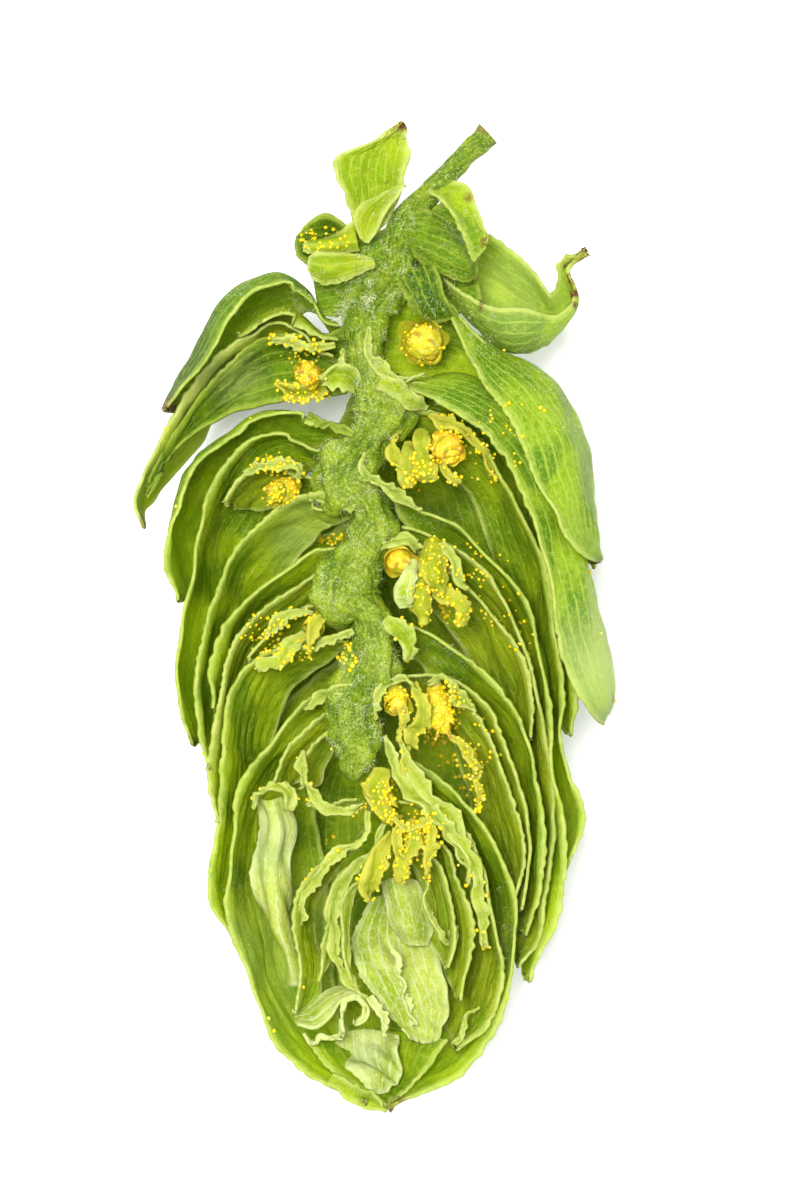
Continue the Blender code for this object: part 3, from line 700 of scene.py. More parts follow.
@dataclass(frozen=True)
class Blade:
    """A blade that wraps the cone's axis.

    Attributes:
        name: Its name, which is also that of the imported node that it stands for.
        section: Its outer face in the cut plane, from the strig to the tip, as (x, y).
        reach: The range of angles that it covers below the cut plane.
        tissue: What it is made of.
        full: The share of its length that keeps the whole reach.
        root: The share of the reach at the strig.
        flange: How far its cut edge is bent outwards, in millimetres.
    """

    name: str
    section: tuple
    reach: tuple[float, float]
    tissue: Tissue
    full: float = 0.6
    root: float = 1.0
    flange: float = 0.22


@dataclass(frozen=True)
class Patch:
    """A freely curved leaf.

    Attributes:
        name: Its name.
        rows: Rows of points across it, from its base to its tip, as (x, y, height above the cut).
        tissue: What it is made of.
        stands_for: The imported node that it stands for, if that has another name.
        relief: How uneven it is.
    """

    name: str
    rows: tuple
    tissue: Tissue
    stands_for: str = ""
    relief: Relief = Relief()


LEFT_BLADES = (
    Blade("bract_left_1", ((-2.1, 12.1), (-2.7, 13.1), (-4.0, 13.9), (-5.2, 13.6), (-6.3, 12.6),
        (-7.1, 11.2), (-7.8, 9.9), (-8.6, 8.3)), (-28, 46), Tissue.DARK_BACKED, 0.45),
    Blade("bracteole_left_1", ((-2.1, 11.4), (-3.0, 12.05), (-4.0, 12.35), (-4.9, 11.95), (-5.6, 11.3)),
        (-22, 45), Tissue.LEAFLET),
    Blade("bract_left_2", ((-2.2, 10.7), (-3.0, 11.5), (-4.0, 11.85), (-5.2, 11.2), (-6.6, 9.9),
        (-7.5, 8.6), (-8.6, 7.0), (-9.4, 5.8), (-9.7, 4.6), (-9.4, 3.6)), (0, 30), Tissue.LEAFLET, 0.35),
    Blade("bract_left_3", ((-2.2, 7.8), (-3.0, 8.15), (-4.0, 8.3), (-5.0, 8.1), (-6.0, 7.5), (-7.0, 6.75),
        (-7.8, 5.7), (-8.2, 4.4), (-8.4, 2.6), (-8.0, 0.7)), (-15, 46), Tissue.BRACT, 0.5),
    Blade("bract_left_4", ((-2.4, 6.8), (-3.0, 7.15), (-3.8, 7.4), (-4.6, 7.2), (-5.6, 6.4), (-6.4, 5.3),
        (-7.1, 3.6), (-7.4, 1.8), (-7.8, -0.4), (-8.05, -2.6), (-7.5, -5.1)), (-4, 46), Tissue.BRACT,
        0.5),
    Blade("bracteole_left_2", ((-3.0, 5.75), (-3.6, 6.1), (-4.5, 6.05), (-5.4, 5.5), (-6.1, 4.6)),
        (0, 40), Tissue.LEAFLET),
    Blade("bract_left_5", ((-1.9, 4.4), (-2.8, 4.7), (-4.0, 4.1), (-5.0, 3.3), (-5.7, 2.4), (-6.3, 1.0),
        (-6.8, -0.9), (-7.1, -2.8), (-7.0, -4.6), (-6.75, -6.1)), (0, 46), Tissue.BRACT, 0.5),
    Blade("bract_left_6", ((-1.8, 2.8), (-2.6, 2.55), (-3.6, 2.0), (-4.6, 1.3), (-5.4, 0.5), (-6.0, -0.6),
        (-6.4, -2.0), (-6.65, -3.6)), (0, 44), Tissue.BRACT),
    Blade("bracteole_left_3", ((-1.8, 2.1), (-2.6, 1.6), (-3.6, 0.9), (-4.6, 0.2), (-5.4, -0.7),
        (-5.9, -1.9), (-6.2, -3.4), (-6.4, -5.2), (-6.5, -6.9), (-6.4, -8.2)), (0, 46), Tissue.LEAFLET),
    Blade("bracteole_left_4", ((-2.0, 0.6), (-2.9, 0.3), (-3.7, -0.2), (-4.5, -0.8), (-5.2, -1.6)),
        (0, 40), Tissue.LEAFLET, 0.7),
    Blade("bract_left_7", ((-1.8, -0.9), (-2.9, -1.1), (-4.0, -1.4), (-5.0, -1.95), (-5.7, -3.0),
        (-5.9, -4.4), (-6.0, -6.0), (-6.05, -7.6), (-6.4, -9.6), (-6.4, -11.2), (-5.8, -12.7)), (0, 46),
        Tissue.BRACT, 0.6),
    Blade("bract_left_8", ((-1.9, -3.0), (-2.6, -3.3), (-3.3, -3.9), (-4.1, -4.8), (-4.8, -5.9),
        (-5.4, -7.2), (-5.8, -9.0), (-5.85, -11.0), (-5.5, -13.0), (-4.9, -15.0), (-4.0, -16.8),
        (-2.6, -18.1), (-1.2, -19.0), (-0.4, -19.4)), (0, 72), Tissue.BRACT, 0.85, 0.6),
    Blade("bracteole_left_5", ((-1.7, -3.7), (-2.4, -4.3), (-3.2, -5.0), (-3.8, -5.8), (-4.3, -6.8)),
        (0, 45), Tissue.LEAFLET),
    Blade("bracteole_left_6", ((-1.9, -4.5), (-2.4, -5.1), (-2.95, -5.8), (-3.1, -6.7)), (0, 45),
        Tissue.LEAFLET, 0.7),
    Blade("bracteole_left_7", ((-1.3, -7.3), (-1.9, -7.6), (-2.7, -7.4)), (0, 40), Tissue.LEAFLET, 0.8),
    Blade("bracteole_left_8", ((-1.2, -9.3), (-2.0, -10.0), (-2.8, -10.8), (-3.15, -11.8), (-3.2, -12.9),
        (-3.05, -14.0), (-3.15, -15.0), (-3.3, -15.8)), (0, 40), Tissue.LEAFLET, 0.85),
    Blade("bracteole_left_9", ((-1.2, -10.0), (-1.7, -10.7), (-1.9, -11.7), (-2.0, -12.8), (-2.2, -13.8),
        (-2.4, -14.5)), (0, 40), Tissue.LEAFLET, 0.5),
    Blade("bracteole_left_10", ((-1.05, -10.7), (-1.35, -11.5), (-1.45, -12.7), (-1.4, -13.6),
        (-1.15, -14.5)), (0, 40), Tissue.LEAFLET, 0.7),
)

RIGHT_BLADES = (
    Blade("bract_right_1", ((1.4, 13.2), (2.6, 12.6), (3.7, 11.6), (5.0, 10.7), (6.4, 10.0), (7.3, 9.3),
        (8.0, 8.2), (8.4, 6.7), (8.75, 5.2), (8.85, 3.8), (8.9, 2.2)), (-44, 46), Tissue.BRACT, 0.6,
        0.25),
    Blade("bract_right_2", ((-0.3, 11.4), (-0.3, 10.6), (0.1, 9.95), (0.8, 9.55), (1.8, 9.6), (2.8, 9.65),
        (3.8, 9.4), (4.7, 8.95), (5.5, 8.5), (6.5, 7.5), (7.3, 6.0), (7.9, 4.4), (8.4, 2.6), (8.9, 0.6),
        (9.4, -1.4), (9.5, -3.0), (9.1, -4.2)), (-38, 34), Tissue.BRACT, 0.82),
    Blade("bract_right_3", ((0.9, 9.3), (1.8, 9.15), (3.0, 9.0), (4.3, 8.6), (5.4, 7.8), (6.3, 6.5),
        (6.9, 4.9), (7.3, 3.1), (7.55, 1.2), (7.7, -0.8), (7.8, -2.8), (7.8, -4.7)), (-14, 46),
        Tissue.BRACT, 0.6),
    Blade("bract_right_4", ((0.9, 8.2), (1.9, 8.15), (2.9, 7.8), (4.0, 6.9), (5.0, 5.6), (5.8, 4.1),
        (6.4, 2.6), (6.8, 0.9), (7.05, -0.9), (7.25, -2.8), (7.4, -4.6), (7.75, -6.4), (8.05, -8.0),
        (7.6, -10.1)), (-6, 38), Tissue.BRACT, 0.6),
    Blade("bract_right_5", ((0.9, 5.0), (1.6, 4.4), (2.4, 4.0), (3.3, 3.5), (4.2, 2.7), (5.1, 1.8),
        (5.9, 0.7), (6.4, -0.7), (6.75, -2.3), (6.95, -4.2), (7.15, -6.2), (7.3, -8.2), (7.3, -10.0),
        (7.0, -11.9), (6.5, -13.3), (6.0, -14.5)), (-10, 44), Tissue.BRACT, 0.45),
    Blade("bracteole_right_1", ((1.5, 3.6), (2.3, 3.2), (3.3, 2.5), (4.3, 1.6), (5.2, 0.5), (5.85, -0.9),
        (6.25, -2.4), (6.5, -4.1), (6.7, -5.9), (6.85, -7.6), (6.85, -9.4), (6.65, -11.2), (6.25, -12.9),
        (5.75, -14.0)), (0, 46), Tissue.LEAFLET, 0.6),
    Blade("bracteole_right_2", ((1.9, 2.6), (2.7, 2.0), (3.6, 1.2), (4.5, 0.3), (5.2, -0.8), (5.7, -2.0),
        (6.0, -3.4), (6.2, -4.8)), (0, 44), Tissue.LEAFLET),
    Blade("bract_right_6", ((0.7, -0.1), (1.4, -0.3), (2.4, -0.8), (3.5, -1.6), (4.5, -2.6), (5.4, -3.6),
        (6.0, -4.9), (6.3, -6.4), (6.5, -8.0), (6.5, -9.6), (6.35, -11.2), (6.0, -12.7)), (-8, 46),
        Tissue.BRACT, 0.6),
    Blade("bract_right_7", ((1.2, -2.3), (2.2, -2.3), (3.2, -2.6), (4.0, -3.3), (4.7, -4.4), (5.3, -5.7),
        (5.8, -7.2), (6.1, -8.8), (6.1, -10.3), (5.85, -11.7)), (0, 46), Tissue.LEAFLET, 0.6),
    Blade("bracteole_right_3", ((3.2, -3.4), (3.9, -4.0), (4.5, -5.0), (4.95, -6.2), (5.3, -7.5),
        (5.65, -8.8), (5.8, -10.0), (5.7, -11.2)), (0, 42), Tissue.LEAFLET, 0.5),
    Blade("bract_right_8", ((1.2, -5.7), (1.9, -6.3), (2.8, -7.0), (3.7, -7.8), (4.5, -8.8), (5.1, -10.0),
        (5.45, -11.3), (5.5, -12.7), (5.35, -14.2), (4.9, -15.7), (4.1, -17.0), (2.9, -18.2),
        (1.6, -18.9), (0.5, -19.7)), (0, 104), Tissue.BRACT, 0.85, 0.42),
    Blade("bracteole_right_4", ((1.3, -7.4), (2.1, -7.9), (3.0, -8.5), (3.8, -9.5), (4.4, -10.7),
        (4.65, -12.0), (4.85, -13.4), (4.8, -14.7), (4.3, -16.1), (3.3, -17.4)), (0, 60), Tissue.LEAFLET,
        0.7),
    Blade("bracteole_right_5", ((2.5, -9.0), (3.0, -10.2), (3.4, -11.4), (3.65, -12.8), (3.6, -14.1),
        (3.4, -15.3)), (0, 46), Tissue.LEAFLET),
    Blade("bracteole_right_6", ((2.2, -9.6), (2.7, -10.8), (3.0, -12.0), (3.05, -13.1), (2.85, -14.0)),
        (0, 45), Tissue.LEAFLET),
)

BACK_ROOT = 0.3          # share of the width where it passes between the side blades
BACK_WIDENED = 0.7       # share of the length at which it reaches its whole width
BACK_BRACTS = (
    (((2.0, 12.4), (3.6, 13.2), (5.6, 12.8), (7.4, 11.2), (8.6, 8.8), (9.0, 6.4), (8.9, 4.2)), (56, 104)),
    (((2.0, 9.6), (3.6, 10.0), (5.6, 9.4), (7.4, 7.7), (8.0, 5.6), (8.2, 4.0), (8.55, 2.0), (8.6, 0.2)),
        (36, 112)),
    (((2.0, 5.4), (3.6, 5.6), (5.6, 4.9), (7.1, 3.3), (7.8, 1.2), (8.05, -0.4), (8.5, -2.3),
        (8.55, -4.2)), (56, 144)),
    (((2.0, 1.2), (3.6, 1.2), (5.6, 0.4), (7.2, -1.4), (7.9, -3.4), (8.1, -4.8), (8.5, -6.7),
        (8.5, -8.6)), (36, 124)),
    (((2.0, -3.0), (3.6, -3.2), (5.5, -4.2), (6.9, -5.8), (7.6, -8.2), (7.8, -10.8), (7.3, -13.0)),
        (56, 144)),
    (((2.0, -6.6), (3.6, -7.2), (5.2, -8.4), (6.4, -10.4), (6.8, -12.6), (6.5, -14.8), (5.5, -16.6),
        (4.3, -17.8)), (36, 124)),
)
SOFT = Relief(wave=0.10, bulge=0.06, bulge_length=1.6, wrinkle=0.03, wrinkle_length=0.6)
CRUMPLED = Relief(wave=0.14, bulge=0.18, bulge_length=1.8, wrinkle=0.09, wrinkle_length=0.8)
# The hoods, the scale and the collars round the stalk, and face_left_2, take the darker looks: painted
# shade.
PATCHES = (
    Patch("crown_leaf", (
        ((-0.95, 15.6, 0.3), (-0.6, 15.3, 0.0), (-0.2, 15.2, 0.3)),
        ((-1.15, 16.4, 0.6), (-0.2, 16.2, 0.1), (0.7, 16.2, 0.5)),
        ((-1.45, 17.2, 0.8), (-0.2, 17.1, 0.1), (1.0, 17.1, 0.6)),
        ((-1.72, 18.0, 0.9), (-0.2, 17.9, 0.2), (1.2, 18.0, 0.7)),
        ((-1.5, 18.45, 0.8), (0.0, 18.5, 0.3), (1.2, 18.6, 0.7)),
        ((-0.3, 18.95, 0.7), (0.5, 19.1, 0.4), (1.12, 19.1, 0.6)),
        ((0.75, 19.55, 0.5), (0.95, 19.6, 0.45), (1.08, 19.5, 0.5)),
        ((0.94, 19.78, 0.45), (0.98, 19.78, 0.45), (1.02, 19.76, 0.45))), Tissue.LEAFLET, relief=SOFT),
    Patch("crown_leaf_small", (
        ((-0.7, 15.1, 1.0), (-0.5, 14.95, 0.9), (-0.3, 14.9, 1.0)),
        ((-0.95, 15.8, 1.3), (-0.4, 15.6, 1.0), (0.1, 15.5, 1.2)),
        ((-0.65, 16.45, 1.5), (-0.05, 16.3, 1.2), (0.45, 16.1, 1.4)),
        ((0.1, 16.85, 1.4), (0.4, 16.8, 1.3), (0.75, 16.6, 1.4)),
        ((0.95, 17.3, 1.2), (1.0, 17.3, 1.2), (1.02, 17.25, 1.2))), Tissue.LEAFLET, relief=SOFT),
    Patch("hooded_bract_left", (
        ((-0.5, 14.6, -0.2), (-0.6, 15.0, -0.5), (-0.8, 15.5, -0.1)),
        ((-1.2, 14.3, 0.3), (-1.3, 15.0, -0.4), (-1.3, 15.75, 0.5)),
        ((-2.0, 14.1, 0.5), (-2.0, 15.0, -0.5), (-2.0, 16.05, 0.6)),
        ((-2.8, 14.05, 0.4), (-2.8, 14.9, -0.2), (-2.7, 15.85, 0.5)),
        ((-3.25, 14.5, 0.3), (-3.3, 14.95, 0.1), (-3.2, 15.4, 0.3))), Tissue.COLLAR, relief=SOFT),
    Patch("hood_fold_left", (
        ((-0.7, 14.7, 0.5), (-0.8, 15.0, 0.8), (-0.9, 15.85, 0.6)),
        ((-1.5, 14.6, 0.7), (-1.5, 14.9, 1.0), (-1.5, 15.4, 0.6)),
        ((-2.4, 14.5, 0.7), (-2.3, 14.8, 0.9), (-2.2, 15.1, 0.5)),
        ((-2.9, 14.6, 0.5), (-2.9, 14.8, 0.6), (-2.8, 14.95, 0.4))),
        Tissue.LEAFLET, "hooded_bract_left", SOFT),
    Patch("leaflet_left", (
        ((-0.1, 14.0, 1.0), (-0.1, 14.1, 1.1), (-0.2, 14.25, 1.0)),
        ((-0.9, 13.65, 1.1), (-0.9, 14.05, 1.35), (-1.0, 14.5, 1.1)),
        ((-1.7, 13.3, 1.2), (-1.75, 13.9, 1.6), (-1.7, 14.65, 1.3)),
        ((-2.3, 13.35, 1.2), (-2.4, 13.9, 1.5), (-2.3, 14.55, 1.3)),
        ((-2.65, 13.75, 1.1), (-2.7, 14.0, 1.2), (-2.65, 14.3, 1.1))), Tissue.LEAFLET, relief=SOFT),
    Patch("hooded_bract_right", (
        ((2.0, 16.9, 1.0), (2.5, 17.0, 0.7), (3.1, 17.4, 0.8)),
        ((2.5, 16.5, 1.6), (2.9, 16.6, 1.2), (3.55, 17.1, 1.0)),
        ((3.0, 16.0, 1.8), (3.4, 16.1, 1.3), (3.9, 16.3, 1.0)),
        ((3.4, 15.3, 1.7), (3.75, 15.4, 1.3), (4.15, 15.6, 1.0)),
        ((3.65, 14.6, 1.5), (3.95, 14.8, 1.3), (4.38, 15.1, 1.1)),
        ((3.85, 14.1, 1.2), (4.0, 14.4, 1.1), (4.2, 14.75, 1.1))), Tissue.BRACT, relief=SOFT),
    Patch("hood_dome_right", (
        ((1.0, 14.9, 0.5), (1.0, 15.4, 0.6), (1.2, 16.0, 0.5)),
        ((1.7, 14.2, 0.7), (1.8, 15.2, 1.2), (1.9, 16.3, 0.6)),
        ((2.6, 13.7, 0.8), (2.6, 14.8, 1.5), (2.6, 16.1, 0.5)),
        ((3.3, 13.45, 0.6), (3.4, 14.4, 1.2), (3.3, 15.6, 0.4)),
        ((3.9, 13.55, 0.2), (3.95, 14.0, 0.4), (3.85, 14.7, 0.2))),
        Tissue.COLLAR, "hooded_bract_right", SOFT),
    Patch("scale_right", (
        ((0.8, 13.3, 1.1), (1.5, 13.9, 1.3), (2.3, 14.0, 1.0)),
        ((1.1, 12.8, 1.2), (1.9, 13.1, 1.4), (2.6, 13.2, 1.1)),
        ((1.5, 12.3, 0.9), (2.2, 12.3, 1.1), (3.0, 12.5, 0.9)),
        ((2.1, 11.9, 0.3), (2.6, 11.9, 0.4), (3.2, 12.0, 0.3))),
        Tissue.COLLAR, "hooded_bract_right", SOFT),
    Patch("basal_bract_right", (
        ((2.9, 14.3, -1.4), (2.6, 13.8, -1.6), (2.5, 13.3, -0.9), (2.5, 13.5, -0.3),
         (2.5, 13.7, 0.0)),
        ((4.0, 15.5, -1.3), (3.8, 13.9, -2.1), (3.6, 12.1, -1.0), (3.6, 12.3, 0.5),
         (3.5, 12.8, 1.2)),
        ((5.2, 15.0, -1.2), (5.2, 13.1, -2.1), (5.2, 10.75, -0.8), (5.0, 11.3, 0.9),
         (4.8, 12.4, 1.5)),
        ((6.3, 14.0, -1.2), (6.3, 12.7, -1.8), (6.4, 10.85, -0.6), (6.2, 11.3, 0.8),
         (6.1, 12.2, 1.4)),
        ((6.95, 13.0, -0.8), (7.1, 12.4, -1.0), (7.4, 11.7, -0.2), (7.3, 11.9, 0.6),
         (7.1, 12.15, 0.9)),
        ((7.2, 13.5, -0.3), (7.45, 13.3, -0.4), (7.9, 12.6, 0.0), (7.9, 12.7, 0.4),
         (7.8, 12.9, 0.5)),
        ((7.3, 14.2, 0.0), (7.45, 14.1, -0.1), (7.62, 13.9, 0.0), (7.68, 13.95, 0.1),
         (7.64, 14.0, 0.2)),
        ((8.38, 14.72, 0.1), (8.4, 14.66, 0.1), (8.42, 14.6, 0.1), (8.44, 14.6, 0.15),
         (8.42, 14.62, 0.2))), Tissue.BRACT, relief=Relief(wave=0.06, bulge=0.1)),
    Patch("face_left_2", (
        ((-0.9, 12.0, -0.3), (-1.0, 10.5, -0.9), (-1.2, 9.0, -0.6)),
        ((-1.9, 11.5, -0.3), (-1.9, 10.0, -1.1), (-2.1, 8.9, -0.7)),
        ((-3.2, 11.5, -0.5), (-3.3, 10.2, -1.4), (-3.5, 8.8, -0.9)),
        ((-4.8, 11.2, -0.5), (-4.7, 9.8, -1.6), (-4.8, 8.45, -1.1)),
        ((-6.2, 10.0, -0.5), (-6.0, 8.9, -1.4), (-6.4, 7.9, -1.0)),
        ((-7.4, 8.6, -0.4), (-7.4, 7.8, -1.0), (-7.8, 6.95, -0.7)),
        ((-8.4, 7.1, -0.3), (-8.4, 6.6, -0.5), (-8.7, 6.0, -0.4)),
        ((-9.2, 5.6, -0.2), (-9.2, 5.2, -0.3), (-9.3, 4.8, -0.2))), Tissue.COLLAR, "bract_left_2"),
    Patch("collar_left", (
        ((-2.7, 14.3, -0.6), (-2.5, 13.5, -0.5), (-2.3, 12.1, -0.4)),
        ((-1.7, 14.9, -0.4), (-1.4, 13.8, 0.1), (-1.3, 12.1, 0.0)),
        ((-0.7, 15.3, -0.2), (-0.4, 14.2, 0.5), (-0.3, 12.4, 0.3)),
        ((0.5, 15.6, -0.2), (0.6, 14.6, 0.3), (0.8, 13.2, 0.2))), Tissue.COLLAR, "bract_left_1", SOFT),
    Patch("collar_right", (
        ((0.9, 15.8, 0.0), (0.9, 14.6, 0.2), (0.8, 13.2, 0.0)),
        ((2.0, 16.3, 0.1), (2.0, 14.4, -0.2), (1.8, 12.2, -0.2)),
        ((2.9, 16.6, 0.2), (3.1, 14.4, -0.5), (3.1, 12.2, -0.4)),
        ((3.8, 15.8, 0.1), (4.0, 14.3, -0.6), (4.2, 12.6, -0.5))),
        Tissue.COLLAR, "hooded_bract_right", SOFT),
    Patch("pocket_right", (
        ((-0.6, 13.3, -0.3), (-0.5, 11.5, -0.9), (-0.3, 9.6, -0.3)),
        ((0.8, 13.5, -0.3), (0.9, 11.3, -1.3), (1.0, 9.3, -0.6)),
        ((2.2, 13.2, 0.0), (2.4, 11.0, -1.3), (2.6, 9.3, -0.9)),
        ((3.4, 12.0, 0.4), (3.7, 10.6, -0.9), (4.0, 9.2, -0.9)),
        ((4.9, 10.4, 0.5), (5.0, 9.8, -0.2), (5.1, 9.0, -0.6))), Tissue.BRACT, "bract_right_1"),
    Patch("folded_bracteole", (
        ((-4.75, -7.2, -0.9), (-4.3, -7.3, -0.3), (-3.6, -7.0, -0.8)),
        ((-4.7, -8.2, -0.9), (-4.1, -8.3, -0.2), (-3.25, -8.2, -0.9)),
        ((-4.85, -9.6, -1.0), (-4.2, -9.7, -0.3), (-3.45, -9.6, -1.0)),
        ((-4.75, -11.0, -1.1), (-4.2, -11.1, -0.4), (-3.6, -11.0, -1.2)),
        ((-4.35, -12.3, -1.3), (-4.0, -12.4, -0.6), (-3.7, -12.4, -1.3)),
        ((-4.0, -13.4, -1.5), (-3.6, -13.4, -0.8), (-3.2, -13.5, -1.5)),
        ((-3.6, -14.6, -1.7), (-3.35, -14.8, -1.1), (-3.1, -14.9, -1.7))),
        Tissue.PALE, relief=CRUMPLED),
    Patch("rolled_bracteole", (
        ((-3.3, -15.8, -0.9), (-3.3, -16.2, -0.5), (-3.2, -16.35, -0.2)),
        ((-2.6, -15.4, -1.3), (-2.6, -16.0, -0.7), (-2.6, -16.4, -0.2)),
        ((-1.9, -15.0, -1.4), (-1.9, -15.5, -0.8), (-1.8, -15.95, -0.3)),
        ((-1.2, -14.9, -1.3), (-1.2, -15.1, -0.9), (-1.3, -15.4, -0.4)),
        ((-0.7, -15.0, -1.2), (-0.75, -15.1, -1.0), (-0.8, -15.2, -0.7))), Tissue.PALE, relief=SOFT),
    Patch("inner_bracteole_large", (
        ((-0.3, -11.4, -2.6), (0.6, -11.2, -2.9), (1.6, -11.2, -2.6)),
        ((-1.0, -12.9, -2.1), (0.6, -12.6, -2.4), (2.2, -12.6, -2.2)),
        ((-0.9, -14.0, -1.5), (0.7, -14.0, -1.7), (2.5, -14.0, -1.6)),
        ((-0.2, -15.1, -1.2), (1.2, -15.2, -1.2), (2.9, -15.2, -1.3)),
        ((0.6, -16.1, -1.3), (1.6, -16.3, -1.2), (2.9, -16.2, -1.3)),
        ((1.3, -16.9, -1.5), (1.9, -17.1, -1.4), (2.4, -17.0, -1.4))), Tissue.PALE, relief=CRUMPLED),
    Patch("inner_bracteole_small", (
        ((0.2, -10.6, -1.2), (0.8, -10.4, -0.9), (1.6, -10.6, -1.2)),
        ((0.35, -11.4, -1.3), (1.1, -11.4, -0.8), (2.0, -11.4, -1.3)),
        ((0.6, -12.2, -1.5), (1.3, -12.3, -0.9), (2.1, -12.2, -1.5)),
        ((1.1, -13.0, -1.7), (1.6, -13.2, -1.4), (2.1, -13.2, -1.7))), Tissue.PALE, relief=SOFT),
    Patch("tip_floor", (
        ((-2.9, -17.0, -1.0), (0.0, -16.8, -2.9), (2.9, -17.0, -1.0)),
        ((-2.1, -18.0, -0.8), (0.1, -18.0, -2.1), (2.2, -18.0, -0.8)),
        ((-1.0, -18.8, -0.5), (0.2, -18.9, -1.2), (1.4, -18.8, -0.5)),
        ((0.3, -19.6, -0.3), (0.4, -19.65, -0.4), (0.5, -19.6, -0.3))), Tissue.BRACT, "tip_bracteole"),
    Patch("tip_bracteole", (
        ((-1.8, -16.9, -1.9), (-0.5, -16.7, -2.5), (0.9, -16.9, -1.9)),
        ((-1.6, -17.6, -1.4), (-0.3, -17.7, -1.9), (1.0, -17.7, -1.4)),
        ((-0.9, -18.3, -0.8), (0.0, -18.4, -1.2), (1.0, -18.4, -0.8)),
        ((-0.2, -18.9, -0.4), (0.1, -19.0, -0.5), (0.4, -18.95, -0.4))), Tissue.PALE, relief=CRUMPLED),
)


@dataclass(frozen=True)
class Flap:
    """A narrow small leaf or strip, given by its middle line.

    Attributes:
        name: Its name.
        stands_for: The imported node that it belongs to.
        line: Its middle line from the base, as (x, y, height above the cut, half width).
        tissue: What it is made of.
        cup: How far its edges stand above its middle, or below it if negative.
        beads: How many glands are meant for its edges.
        turn: How far it is turned about its middle line, in degrees.
    """

    name: str
    stands_for: str
    line: tuple
    tissue: Tissue
    cup: float = 0.15
    beads: int = 0
    turn: float = 0.0


